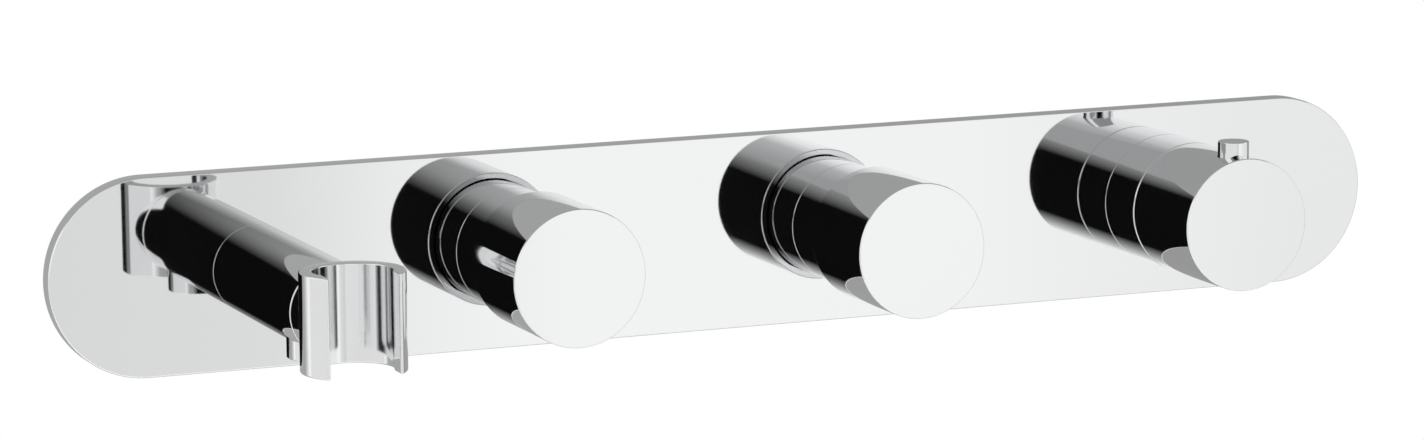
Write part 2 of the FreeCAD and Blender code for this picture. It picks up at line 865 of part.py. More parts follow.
def pipe_boss(name, x, y, way, reach, inner, socket):
    """The boss, its socket and its water bore, to the right for way 1 and to the left for -1."""
    ends = (x, x + reach) if way > 0 else (x - reach, x)
    mouth = (x + inner, x + reach) if way > 0 else (x - reach, x - inner)
    boss = bar(name + "_boss", "x", half("boss_pipe_dia"), ends[0], ends[1], (y, ZERO))
    socket_bar = bar(name + "_socket", "x", socket, mouth[0], mouth[1], (y, ZERO))
    water = bar(name + "_water", "x", half("water_bore"), ends[0], ends[1], (y, ZERO))
    return boss, [socket_bar, water]


def valve_block(side, bosses, upper_outlet):
    """A brass block that holds one headwork."""
    x = AXES[side]
    name = side + "_block"
    front = size("block_front")
    back = size("block_back")
    solids = [bar(name + "_main", "y", half("block_dia"), front, back, (x, ZERO))]
    seat = size("seat_y")
    shoulder = size("flange_seat_y")
    tools = [
        bar(name + "_bore", "y", half("headwork_bore"), front, seat, (x, ZERO)),
        bar(name + "_mouth", "y", half("headwork_flange_dia") + GAP, front, shoulder, (x, ZERO)),
        bar(name + "_seat_hole", "y", half("seat_bore"), seat, size("gallery_y"), (x, ZERO)),
    ]
    for number, (y, way) in enumerate(bosses):
        boss, bores = side_boss("%s_%d" % (name, number), x, y, way)
        solids.append(boss)
        tools += bores
    if upper_outlet:
        top = size("top_outlet_height")
        union = top - size("union_depth")
        y = size("outlet_y")
        solids.append(bar(name + "_up", "z", half("union_dia"), ZERO, top, (x, y)))
        tools.append(bar(name + "_up_water", "z", half("water_bore"), ZERO, union, (x, y)))
        thread = half("thread_half_inch_dia")
        tools.append(bar(name + "_up_thread", "z", thread, union, top, (x, y)))
    tools += screw_holes(name, x, size("bracket_screw_rise"))
    keep(side + "_valve_block", cut(name + "_bored", fuse(name + "_solid", solids), tools))


def screw_holes(name, x, rise):
    """Blind holes in a block's back for the bracket screws."""
    back = size("block_back")
    start = back - size("bracket_screw_depth")
    radius = half("bracket_screw_dia") + GAP
    holes = []
    for way, z in (("upper", rise), ("lower", -rise)):
        holes.append(bar("%s_screw_%s" % (name, way), "y", radius, start, back, (x, z)))
    return holes


def arm_port_block():
    """The block that takes the arm's water nipple."""
    x = AXES["arm"]
    name = "port_block"
    front = size("block_front")
    back = size("block_back")
    y = size("outlet_y")
    end = size("nipple_in_port") + front
    water = half("water_bore")
    boss, bores = side_boss(name, x, y, 1)
    main = bar(name + "_main", "y", half("block_dia"), front, back, (x, ZERO))
    tools = bores + [
        bar(name + "_port", "y", half("port_bore"), front, end, (x, ZERO)),
        bar(name + "_way", "y", water, end, y + water, (x, ZERO)),
    ]
    tools += screw_holes(name, x, size("bracket_screw_rise"))
    keep("arm_port_block", cut(name + "_bored", fuse(name + "_solid", [main, boss]), tools))


def thermostat_block():
    """The brass block with both inlets that holds the thermostatic cartridge."""
    x = AXES["thermostat"]
    name = "thermostat_block"
    front = size("thermo_block_front")
    back = size("block_back")
    gallery = size("gallery_y")
    reach = size("thermo_boss_reach")
    inner = reach - size("socket_depth")
    socket = half("pipe_dia") + GAP
    boss, tools = pipe_boss(name, x, gallery, -1, reach, inner, socket)
    solids = [bar(name + "_main", "y", half("thermo_block_dia"), front, back, (x, ZERO)), boss]
    tools.append(bar(name + "_bore", "y", half("thermo_bore"), front, size("thermo_bore_end"), (x, ZERO)))
    seat = half("thermo_seat_dia")
    tools.append(bar(name + "_seat", "y", seat, front, size("thermo_seat_y"), (x, ZERO)))
    bottom = -size("inlet_bottom")
    union = bottom + size("union_depth")
    check_top = union + size("strainer_thick") + size("check_length") + GAP
    water_end = size("inlet_top") - size("inlet_cap")
    for side, way in (("hot", -1), ("cold", 1)):
        spot = inlet_x(way)
        y = size(side + "_y")
        cross = half("inlet_cross_bore")
        ends = (spot, x) if way < 0 else (x, spot)
        solids.append(bar(side + "_inlet", "z", half("inlet_dia"), bottom, size("inlet_top"), (spot, y)))
        tools += [
            bar(side + "_thread", "z", half("thread_half_inch_dia"), bottom, union, (spot, y)),
            bar(side + "_check_way", "z", half("check_dia") + GAP, union, check_top, (spot, y)),
            bar(side + "_water", "z", half("water_bore"), check_top, water_end, (spot, y)),
            bar(side + "_cross", "x", cross, ends[0], ends[1], (y, ZERO)),
        ]
    tools += screw_holes(name, x, size("thermo_screw_rise"))
    keep(name, cut(name + "_bored", fuse(name + "_solid", solids), tools))


def inlet_x(way):
    """An inlet's place along X: hot to the left (-1), cold to the right (1)."""
    return AXES["thermostat"] + size("inlet_offset") * way


def pipes_and_seals():
    """The three pipes between the blocks, the arm's nipple, and all their rings."""
    inner = size("boss_pipe_reach") - size("socket_depth")
    thermo_inner = size("thermo_boss_reach") - size("socket_depth")
    gallery = size("gallery_y")
    outlet = size("outlet_y")
    runs = (
        ("arm_pipe", AXES["arm"] + inner, AXES["left"] - inner, outlet),
        ("left_pipe", AXES["left"] + inner, AXES["middle"] - inner, gallery),
        ("right_pipe", AXES["middle"] + inner, AXES["thermostat"] - thermo_inner, gallery),
    )
    outer = half("pipe_dia")
    bore = half("water_bore")
    minor = size("pipe_seal_minor")
    pipes = []
    rings = []
    for name, start, end, y in runs:
        tube = ring(name + "_tube", "x", outer, bore, start, end, (y, ZERO))
        grooves = []
        for side, spot in (
            ("near", start + size("pipe_seal_from_end")),
            ("far", end - size("pipe_seal_from_end")),
        ):
            seal = "%s_%s" % (name, side)
            low = spot - minor
            groove = outer - minor * 2
            grooves.append(ring(seal + "_groove", "x", outer + 1, groove, low, spot + minor, (y, ZERO)))
            rings.append(o_ring(seal + "_ring", "x", outer - minor + RUN, minor, (spot, y, ZERO)))
        pipes.append(cut(name, tube, grooves))
    keep("connecting_pipes", group("pipe_set", pipes))
    keep("pipe_seals", group("pipe_seal_set", rings))


def arm_nipple():
    """The threaded nipple that carries water from the port block into the arm."""
    x = AXES["arm"]
    radius = half("nipple_dia")
    back = size("block_front") + size("nipple_in_port")
    front = FRONT - size("nipple_in_arm")
    minor = size("seal_minor")
    groove = radius - minor * 2 + RUN
    bore = half("nipple_bore")
    tube = ring("nipple_tube", "y", radius, bore, front, back, (x, ZERO))
    grooves = []
    rings = []
    inside = size("nipple_in_arm") / 2
    for side, y in (("arm", FRONT - inside), ("port", back - inside)):
        name = "nipple_" + side
        start = y - minor
        grooves.append(ring(name + "_groove", "y", radius + 1, groove, start, y + minor, (x, ZERO)))
        rings.append(o_ring(name + "_ring", "y", radius - minor + RUN, minor, (x, y, ZERO)))
    keep("arm_nipple", cut("nipple", tube, grooves))
    keep("nipple_seals", group("nipple_seal_set", rings))


def cartridge():
    """The thermostatic cartridge, from its turning spindle to its return spring."""
    x = AXES["thermostat"]
    back = size("thermo_bore_end")
    outer = half("thermo_bore") - GAP
    flange = half("thermo_seat_dia") - GAP
    nose = half("thermo_nose_dia")
    stem = half("temp_stem_dia")
    chamber = half("cartridge_chamber")
    seat = back - size("thermo_seat_y")
    flange_front = seat + size("thermo_flange_thick")
    chamber_front = back - size("chamber_start")
    nose_front = back - THERMO_NOSE_FRONT
    profile = [
        (chamber, ZERO),
        (outer, ZERO),
        (outer, seat),
        (flange, seat),
        (flange, flange_front),
        (nose, flange_front),
        (nose, nose_front),
        (stem, nose_front),
        (stem, chamber_front),
        (chamber, chamber_front),
    ]
    solid = turned("cartridge_turned", profile, TURN_TO_FRONT, (x, back, ZERO))
    tools = []
    rings = []
    minor = size("seal_minor")
    port = half("cartridge_port")
    for side in ("cold", "hot", "gallery"):
        y = size(side + "_y")
        tools.append(bar("cartridge_%s_across" % side, "x", port, x - outer, x + outer, (y, ZERO)))
        tools.append(bar("cartridge_%s_up" % side, "z", port, -outer, outer, (x, y)))
        name = "cartridge_%s_groove" % side
        floor = outer - size("cartridge_groove")
        tools.append(ring(name, "y", outer + 1, floor, y - port, y + port, (x, ZERO)))
    for number, y in enumerate(cartridge_seal_places()):
        name = "cartridge_seal_%d" % number
        groove = outer - minor * 2 + RUN
        tools.append(ring(name + "_groove", "y", outer + 1, groove, y - minor, y + minor, (x, ZERO)))
        rings.append(o_ring(name, "y", outer - minor + RUN, minor, (x, y, ZERO)))
    keep("cartridge_body", cut("cartridge_cut", solid, tools))
    keep("cartridge_seals", group("cartridge_seal_set", rings))
    ring_back = size("thermo_seat_y") - size("thermo_flange_thick")
    retainer = ring("retainer", "y", flange, nose + GAP, size("thermo_block_front"), ring_back, (x, ZERO))
    keep("cartridge_retaining_ring", retainer)
    temperature_spindle(x)
    regulating_pieces(x, back)


def cartridge_seal_places():
    """Where the cartridge's rings lie: outside and between its three rows of ports."""
    cold = size("cold_y")
    hot = size("hot_y")
    gallery = size("gallery_y")
    return ((cold + size("thermo_seat_y")) / 2, (cold + hot) / 2, (hot + gallery) / 2)


def temperature_spindle(x):
    """The spindle that the thermostat handle turns; its threaded bore moves the wax element."""
    back = size("chamber_start") + size("temp_flange_thick")
    stem = half("temp_stem_dia") - RUN
    bore = half("temp_bore")
    depth = size("temp_bore_depth")
    thick = size("temp_flange_thick")
    flange = half("temp_flange_dia")
    drive = half("drive_dia")
    drive_start = back - INSERT_BACK
    end = back - DRIVE_FRONT
    seal_along = back - size("thermo_seat_y") + size("thermo_flange_thick")
    minor = size("seal_minor")
    groove = stem - minor * 2
    profile = [
        (ZERO, depth),
        (bore, depth),
        (bore, ZERO),
        (flange, ZERO),
        (flange, thick),
        (stem, thick),
        (stem, seal_along - minor),
        (groove, seal_along - minor),
        (groove, seal_along + minor),
        (stem, seal_along + minor),
        (stem, drive_start),
        (drive, drive_start),
        (drive, end),
        (ZERO, end),
    ]
    solid = turned("temperature_turned", profile, TURN_TO_FRONT, (x, back, ZERO))
    flat = size("drive_flat")
    low = (x - drive, DRIVE_FRONT, flat)
    high = (x + drive, INSERT_BACK, drive)
    keep("temperature_spindle", cut("temperature_cut", solid, [brick("temperature_flat", low, high)]))
    seal_y = back - seal_along
    seal = o_ring("temperature_ring", "y", stem - minor + RUN / 2, minor, (x, seal_y, ZERO))
    keep("temperature_spindle_seal", seal)


def regulating_pieces(x, back):
    """Wax element, regulating piston, return spring and its seat, inside the cartridge."""
    start = size("wax_start")
    end = size("wax_end")
    tail = end + size("wax_pin_length")
    rod_front = tail - start + size("wax_rod_reach")
    pin = half("wax_pin_dia")
    body = half("wax_dia")
    rod = half("wax_rod_dia")
    profile = [
        (ZERO, ZERO),
        (pin, ZERO),
        (pin, tail - end),
        (body, tail - end),
        (body, tail - start),
        (rod, tail - start),
        (rod, rod_front),
        (ZERO, rod_front),
    ]
    keep("wax_element", turned("wax_turned", profile, TURN_TO_FRONT, (x, tail, ZERO)))
    piston_back = size("piston_start") + size("piston_length")
    radius = half("cartridge_chamber") - RUN
    blank = ring("piston_blank", "y", radius, body + RUN, size("piston_start"), piston_back, (x, ZERO))
    holes = []
    circle = size("piston_hole_radius")
    for number in range(PISTON_HOLES):
        angle = 2 * math.pi * number / PISTON_HOLES
        spot = (x + circle * math.cos(angle), circle * math.sin(angle))
        name = "piston_hole_%d" % number
        holes.append(bar(name, "y", half("piston_hole"), size("piston_start"), piston_back, spot))
    keep("regulating_piston", cut("piston_cut", blank, holes))
    seat_front = back - size("spring_seat_thick")
    spring = half("return_spring_dia")
    spring_front = piston_back + size("return_spring_gap")
    inside = spring - size("return_spring_wall")
    coil = ring("return_coil", "y", spring, inside, spring_front, seat_front, (x, ZERO))
    keep("return_spring", coil)
    seat_radius = half("cartridge_chamber") - GAP
    bore = half("spring_seat_bore")
    keep("spring_seat", ring("return_seat", "y", seat_radius, bore, seat_front, back, (x, ZERO)))


def stop_ring():
    """The fixed ring whose tooth ends the thermostat handle's turn both ways."""
    x = AXES["thermostat"]
    outer = half("stop_ring_dia")
    back = THERMO_NOSE_FRONT + size("stop_ring_back") + size("stop_ring_thick")
    front = back - size("stop_ring_thick")
    tooth_front = front - size("stop_tooth_height")
    nose = half("thermo_nose_dia") + GAP
    base = ring("stop_base", "y", outer, nose, front, back, (x, ZERO))
    tooth = DOC.addObject("Part::Cylinder", "stop_tooth_blank")
    bind(tooth, "Radius", outer)
    bind(tooth, "Height", back - tooth_front)
    margin = size("stop_margin")
    start = size("cold_turn") + margin - 90
    bind(tooth, "Angle", as_length(360) - size("cold_turn") - size("hot_turn") - margin * 2)
    turn = FreeCAD.Rotation(FreeCAD.Vector(0, 0, 1), start.value)
    put(tooth, TURN_TO_WALL.multiply(turn), (x, tooth_front, ZERO))
    clear = bar("stop_tooth_inside", "y", half("stop_tooth_dia"), tooth_front, back, (x, ZERO))
    keep("stop_ring", fuse("stop_whole", [base, cut("stop_tooth", tooth, [clear])]))


def safety_button():
    """The sprung button in the top of the thermostat handle; returns what the handle leaves for it."""
    x = AXES["thermostat"]
    y = HANDLE_FRONT + size("button_from_front")
    radius = half("button_dia")
    flange = half("button_flange_dia")
    pocket = half("button_pocket_dia")
    top = half("handle_dia") + size("button_proud")
    spring_bottom = half("boss_dia") - size("button_seat_depth")
    spring_top = spring_bottom + size("button_spring_length")
    cavity = half("handle_cavity_dia")
    chord = math.sqrt(cavity.value ** 2 - flange.value ** 2) / cavity.value
    flange_top = cavity * round(chord, 4) - size("joint_gap")
    bottom = flange_top - size("button_flange_thick")
    height = top - bottom
    bevel = size("button_bevel")
    pocket_top = spring_top - bottom
    profile = [
        (ZERO, pocket_top),
        (pocket, pocket_top),
        (pocket, ZERO),
        (flange, ZERO),
        (flange, size("button_flange_thick")),
        (radius, size("button_flange_thick")),
        (radius, height - bevel),
        (radius - bevel, height),
        (ZERO, height),
    ]
    keep("safety_button", turned("button_turned", profile, UPRIGHT, (x, y, bottom)))
    coil = half("button_spring_dia")
    inside = coil - size("button_spring_wall")
    spring = ring("button_coil", "z", coil, inside, spring_bottom, spring_top, (x, y))
    keep("safety_button_spring", spring)
    boss = half("boss_dia")
    return [
        bar("button_way", "z", radius + GAP, boss + GAP, half("handle_dia"), (x, y)),
        bar("button_spring_seat", "z", coil + GAP, spring_bottom, boss, (x, y)),
    ]


def check_valve(side, way):
    """A check valve in one inlet: poppet and spring; returns its body and its strainer."""
    x = inlet_x(way)
    y = size(side + "_y")
    shoulder = size("union_depth") - size("inlet_bottom")
    bottom = shoulder + size("strainer_thick")
    top = bottom + size("check_length")
    radius = half("check_dia")
    inside = radius - size("check_wall")
    web = bottom + size("check_web")
    guide_top = top - size("check_guide_from_top") + size("check_web")
    guide = guide_top - size("check_web")
    stem = half("poppet_stem_dia")
    shell = bar(side + "_shell", "z", radius, bottom, top, (x, y))
    tools = [
        bar(side + "_seat_hole", "z", half("check_seat_hole"), bottom, web, (x, y)),
        bar(side + "_chamber", "z", inside, web, guide, (x, y)),
        bar(side + "_guide_bore", "z", stem + GAP, guide, guide_top, (x, y)),
        bar(side + "_exit", "z", inside, guide_top, top, (x, y)),
    ]
    circle = size("guide_hole_radius")
    for number in range(GUIDE_HOLES):
        angle = 2 * math.pi * number / GUIDE_HOLES
        spot = (x + circle * math.cos(angle), y + circle * math.sin(angle))
        name = "%s_guide_%d" % (side, number)
        tools.append(bar(name, "z", half("guide_hole"), guide, guide_top, spot))
    body = cut(side + "_check", shell, tools)
    poppet_top = size("poppet_thick")
    stem_top = guide_top - web + size("poppet_stem_past")
    profile = [
        (ZERO, ZERO),
        (half("poppet_dia"), ZERO),
        (half("poppet_dia"), poppet_top),
        (stem, poppet_top),
        (stem, stem_top),
        (ZERO, stem_top),
    ]
    keep(side + "_check_poppet", turned(side + "_poppet", profile, UPRIGHT, (x, y, web)))
    coil = half("check_spring_dia")
    hollow = coil - size("check_spring_wall")
    spring = ring(side + "_coil", "z", coil, hollow, web + poppet_top, guide, (x, y))
    keep(side + "_check_spring", spring)
    return body, strainer(side, x, y, shoulder)


def strainer(side, x, y, bottom):
    """A round perforated disc in front of one check valve."""
    radius = half("check_dia")
    top = bottom + size("strainer_thick")
    disc = bar(side + "_strainer_disc", "z", radius, bottom, top, (x, y))
    hole = half("strainer_hole")
    holes = [bar(side + "_mesh_centre", "z", hole, bottom, top, (x, y))]
    for ring_number in (1, 2):
        count = MESH_HOLES * ring_number
        circle = size("strainer_pitch") * ring_number
        for number in range(count):
            angle = 2 * math.pi * number / count
            spot = (x + circle * math.cos(angle), y + circle * math.sin(angle))
            name = "%s_mesh_%d_%d" % (side, ring_number, number)
            holes.append(bar(name, "z", hole, bottom, top, spot))
    return cut(side + "_strainer", disc, holes)


def wall_bracket():
    """The steel strip behind the blocks, with its screws and its wall holes."""
    front = size("block_back")
    back = front + size("bracket_thick")
    left = ARM_X - size("bracket_past_arm")
    right = THERMOSTAT_X + size("bracket_past_thermostat")
    rise = half("bracket_height")
    strip = brick("bracket_strip", (left, front, -rise), (right, back, rise))
    tools = []
    screws = []
    edge = size("wall_hole_edge")
    for side, x in (("left", left + edge), ("right", right - edge)):
        for way, z in (("upper", size("wall_hole_rise")), ("lower", -size("wall_hole_rise"))):
            name = "wall_hole_%s_%s" % (side, way)
            tools.append(bar(name, "y", half("wall_hole_dia"), front, back, (x, z)))
    for side in ("arm", "left", "middle", "thermostat"):
        x = AXES[side]
        screw_rise = size("thermo_screw_rise" if side == "thermostat" else "bracket_screw_rise")
        for way, z in (("upper", screw_rise), ("lower", -screw_rise)):
            name = "bracket_%s_%s" % (side, way)
            radius = half("bracket_screw_dia")
            tools.append(bar(name + "_hole", "y", radius + GAP, front, back, (x, z)))
            start = front - size("bracket_screw_depth") + size("joint_gap")
            head_end = back + size("bracket_head_thick")
            shank = bar(name + "_shank", "y", radius, start, back, (x, z))
            head = bar(name + "_head", "y", half("bracket_head_dia"), back, head_end, (x, z))
            screws.append(fuse(name, [shank, head]))
    keep("wall_bracket", cut("bracket", strip, tools))
    keep("bracket_screws", group("bracket_screw_set", screws))


def build():
    """Make every piece."""
    plate_and_seal()
    holder_arm()
    hand_shower_holder()
    sleeves()
    handle("left", [])
    handle("middle", [])
    handle("thermostat", safety_button())
    discs = [headwork("left"), headwork("middle")]
    keep("fixed_ceramic_discs", group("fixed_disc_set", [pair[0] for pair in discs]))
    keep("seat_seals", group("seat_seal_set", [pair[1] for pair in discs]))
    valve_block("left", ((size("gallery_y"), 1), (size("outlet_y"), -1)), False)
    valve_block("middle", ((size("gallery_y"), 1), (size("gallery_y"), -1)), True)
    arm_port_block()
    thermostat_block()
    pipes_and_seals()
    arm_nipple()
    cartridge()
    stop_ring()
    checks = [check_valve("hot", -1), check_valve("cold", 1)]
    keep("check_valve_bodies", group("check_body_set", [pair[0] for pair in checks]))
    keep("inlet_strainers", group("strainer_set", [pair[1] for pair in checks]))
    wall_bracket()
    DOC.recompute()


def check_and_write():
    """Stop on any failed object or bad shape, then write one file for each piece."""
    for item in DOC.Objects:
        if "Invalid" in item.State or "Error" in item.State:
            raise RuntimeError("%s did not build: %s" % (item.Label, item.State))
    for item in PIECES:
        if item.Shape.isNull() or not item.Shape.isValid():
            raise RuntimeError("%s has no valid shape" % item.Label)
    os.makedirs("parts", exist_ok=True)
    for item in PIECES:
        item.Shape.exportStep("parts/%s.step" % item.Label)
        box = item.Shape.BoundBox
        print("%-26s %2d solids %10.1f mm3" % (item.Label, len(item.Shape.Solids), item.Shape.Volume),
              "x %.1f %.1f y %.1f %.1f z %.1f %.1f" % (box.XMin, box.XMax, box.YMin, box.YMax,
                                                       box.ZMin, box.ZMax))
    print(len(PIECES), "pieces")


build()
check_and_write()
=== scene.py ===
import json
import math

import bmesh
import bpy
from bpy.props import FloatProperty, FloatVectorProperty, IntProperty, PointerProperty
from mathutils import Matrix, Vector

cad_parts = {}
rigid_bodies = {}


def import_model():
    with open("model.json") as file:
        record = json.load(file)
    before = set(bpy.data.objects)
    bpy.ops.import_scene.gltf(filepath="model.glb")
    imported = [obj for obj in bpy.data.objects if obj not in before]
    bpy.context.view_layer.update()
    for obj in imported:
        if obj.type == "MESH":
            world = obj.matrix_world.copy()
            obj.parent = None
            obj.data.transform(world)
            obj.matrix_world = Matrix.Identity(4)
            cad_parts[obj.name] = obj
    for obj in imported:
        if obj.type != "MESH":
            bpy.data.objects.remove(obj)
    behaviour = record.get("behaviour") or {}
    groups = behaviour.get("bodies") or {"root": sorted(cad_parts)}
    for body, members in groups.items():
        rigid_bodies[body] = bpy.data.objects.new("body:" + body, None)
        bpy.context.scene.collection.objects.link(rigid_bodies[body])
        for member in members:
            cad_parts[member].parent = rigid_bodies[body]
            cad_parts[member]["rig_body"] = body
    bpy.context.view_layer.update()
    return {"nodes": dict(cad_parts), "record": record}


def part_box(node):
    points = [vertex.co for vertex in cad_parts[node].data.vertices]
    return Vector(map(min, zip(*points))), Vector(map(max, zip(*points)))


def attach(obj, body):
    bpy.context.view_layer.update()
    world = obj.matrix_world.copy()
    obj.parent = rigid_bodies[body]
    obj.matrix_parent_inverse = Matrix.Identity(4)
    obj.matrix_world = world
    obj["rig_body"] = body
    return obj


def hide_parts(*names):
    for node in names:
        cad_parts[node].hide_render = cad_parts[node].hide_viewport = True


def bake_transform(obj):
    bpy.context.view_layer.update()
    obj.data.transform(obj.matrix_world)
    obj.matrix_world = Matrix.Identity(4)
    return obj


bl_info = {
    "name": "Thermostatic Shower Valve",
    "version": (1, 0, 0),
    "blender": (4, 5, 0),
    "location": "3D View > Sidebar > Shower Valve",
    "description": "Makes the finished pieces of a thermostatic shower valve and its studio",
    "category": "Object",
}

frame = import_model()
MM = 0.001
QUARTER = math.pi / 2
CONTROLS = ("left", "middle", "thermostat")
TO_FRONT = Matrix.Rotation(QUARTER, 4, "X")
UPWARDS = Matrix.Identity(4)
HOLE_STEPS = 96
BUTTON_RADIUS = 5.35 * MM
# Noise stretched along Z, like the marks of a cloth.
WIPED = (1.0, 1.0, 0.25)


def middle(node):
    """Centre of a CAD node's box."""
    low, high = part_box(node)
    return (low + high) / 2


def reach(node):
    """Size of a CAD node's box."""
    low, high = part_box(node)
    return high - low


def along_y(node):
    """A round CAD node along Y: the centre of its back, its radius and its length."""
    low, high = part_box(node)
    return (middle(node).x, high.y, 0.0), (high.x - low.x) / 2, high.y - low.y


def length(name, text, millimetres):
    """A size that a user may change."""
    return FloatProperty(
        name=name, description=text, default=millimetres * MM, min=0.0, unit="LENGTH", precision=5
    )


def colour(name, text, default):
    """A colour that a user may change."""
    return FloatVectorProperty(
        name=name, description=text, default=default, size=3, subtype="COLOR", min=0.0, max=1.0
    )


def share(name, text, default, high=1.0):
    """A plain number between nothing and a highest value."""
    return FloatProperty(name=name, description=text, default=default, min=0.0, max=high)


class ValvePlateSizes(bpy.types.PropertyGroup):
    """Sizes of the cover plate."""

    rim: length("Rim wall", "Thickness of the wall round the plate's back", 2.5)
    skin: length("Front skin", "Thickness of the plate's front", 2.5)
    edge_round: length("Edge round", "Radius round the plate's front edge", 0.6)
    hole_gap: length("Hole gap", "Room round what passes through the plate", 1.0)


class ValveControlSizes(bpy.types.PropertyGroup):
    """Sizes of the sleeves, the handles and the safety button."""

    edge_round: length("Edge round", "Radius round a handle's edges", 0.4)
    cavity: length("Cavity radius", "Inner radius of a handle", 18.0)
    front_wall: length("Front wall", "Thickness of a handle's front", 3.0)
    mouth_gap: length("Mouth gap", "Room between a handle and its neck sleeve", 0.4)
    mouth_depth: length("Mouth depth", "How far the wide mouth reaches into a handle", 8.0)
    boss: length("Boss radius", "Radius of the boss inside a handle", 11.0)
    socket: length("Socket radius", "Radius of the boss's socket", 8.6)
    boss_length: length("Boss length", "Length of the boss", 24.0)
    sleeve_wall: length("Sleeve wall", "Wall of a neck sleeve", 2.2)
    seam_round: length("Seam round", "Radius round the seam behind a handle", 0.4)
    joint_round: length("Joint round", "Radius where a piece meets the plate", 0.3)
    sleeve_web: length("Sleeve web", "Thickness of a neck sleeve's back web", 3.0)
    screw_hole: length("Screw hole radius", "Radius of the grub screw's way in", 2.1)
    screw_from_front: length("Screw place", "Grub screw's distance from the front", 15.0)


class ValveHolderSizes(bpy.types.PropertyGroup):
    """Sizes of the arm and the hand-shower holder."""

    bore: length("Holder bore", "Bore radius of the hand-shower holder", 12.5)
    slot: length("Slot half-width", "Half the width of the holder's front slot", 11.35)
    rim_round: length("Rim round", "Radius round the holder's top and bottom rims", 0.55)
    slot_round: length("Slot round", "Radius along the slot's edges", 0.5)
    stub_radius: length("Stub radius", "Radius of the holder's stub", 14.8)
    outlet_wall: length("Outlet wall", "Wall of the hose outlet's bush", 1.25)


class ValveThreadSizes(bpy.types.PropertyGroup):
    """Sizes of the screw threads in the sockets."""

    wall: length("Socket radius", "Radius of a socket's wall", 9.315)
    pitch: length("Pitch", "Distance between two turns", 1.81)
    height: length("Height", "How far a turn stands inwards", 0.45)
    steps: IntProperty(name="Steps", description="Steps in one turn", default=72, min=12)


class ValveFinishes(bpy.types.PropertyGroup):
    """Colours of the finishes."""

    chrome: colour("Chrome", "Polished chrome", (0.86, 0.865, 0.87))
    brass: colour("Brass", "Bare brass", (0.72, 0.54, 0.26))
    steel: colour("Steel", "Stainless steel", (0.46, 0.46, 0.455))
    rubber: colour("Rubber", "Seals", (0.018, 0.018, 0.02))
    dark_plastic: colour("Dark plastic", "Dark moulded parts", (0.03, 0.03, 0.034))
    light_plastic: colour("Light plastic", "Light moulded parts", (0.78, 0.78, 0.75))
    ceramic: colour("Ceramic", "Ceramic discs", (0.84, 0.83, 0.78))
    satin: share("Satin", "Roughness inside the hand-shower holder", 0.1)


class ValveStageSettings(bpy.types.PropertyGroup):
    """Floor, cards, lamps and camera."""

    floor_drop: length("Floor drop", "Height of the valve above the floor", 1300.0)
    floor_colour: colour("Floor", "Colour of the floor", (0.9, 0.9, 0.9))
    sky: share("Sky", "Strength of the light from all round", 0.62, 4.0)
    front: share("Front light", "Brightness of the large panel on the right", 1.0, 8.0)
    ceiling: share("Ceiling", "Brightness of the ceiling", 0.4, 8.0)
    floor_lift: share("Floor lift", "Light that only the camera and metal see", 0.46)
    hood: share("Grey hood", "Brightness of the hood behind the camera", 1.0, 8.0)
    flag: share("Dark flag", "Brightness of the dark flag before the valve", 0.004)
    lens: FloatProperty(name="Lens", description="Focal length", default=128.6, min=10.0)


GROUPS = (
    ("valve_plate", ValvePlateSizes),
    ("valve_controls", ValveControlSizes),
    ("valve_holder", ValveHolderSizes),
    ("valve_threads", ValveThreadSizes),
    ("valve_finishes", ValveFinishes),
    ("valve_stage", ValveStageSettings),
)


class Signal:
    """A socket that takes part in Python arithmetic."""

    def __init__(self, tree, socket):
        self.tree = tree
        self.socket = socket

    def _maths(self, operation, first, second):
        settings = {"operation": operation}
        return Graph(self.tree).node("ShaderNodeMath", settings, {0: first, 1: second})

    def __add__(self, other):
        return self._maths("ADD", self, other)

    def __sub__(self, other):
        return self._maths("SUBTRACT", self, other)

    def __rsub__(self, other):
        return self._maths("SUBTRACT", other, self)

    def __mul__(self, other):
        return self._maths("MULTIPLY", self, other)

    __radd__ = __add__
    __rmul__ = __mul__


def connect(tree, socket, value):
    """Link signals to a socket, or set the socket's own value."""
    if isinstance(value, list):
        for signal in value:
            connect(tree, socket, signal)
    elif isinstance(value, Signal):
        tree.links.new(value.socket, socket)
    else:
        socket.default_value = value


class Graph:
    """A node tree under construction."""

    def __init__(self, tree):
        self.tree = tree

    def node(self, kind, settings=None, inputs=None, output=0):
        """Add a node: its settings first, then the values or links of its sockets."""
        node = self.tree.nodes.new(kind)
        for name, value in (settings or {}).items():
            if name == "stops":
                set_stops(node.color_ramp, value)
            else:
                setattr(node, name, value)
        for name, value in (inputs or {}).items():
            connect(self.tree, node.inputs[name], value)
        return Signal(self.tree, node.outputs[output])

    def rays(self, *kinds):
        """Whether a ray is of a kind, for several kinds."""
        return [self.node("ShaderNodeLightPath", output="Is " + kind + " Ray") for kind in kinds]


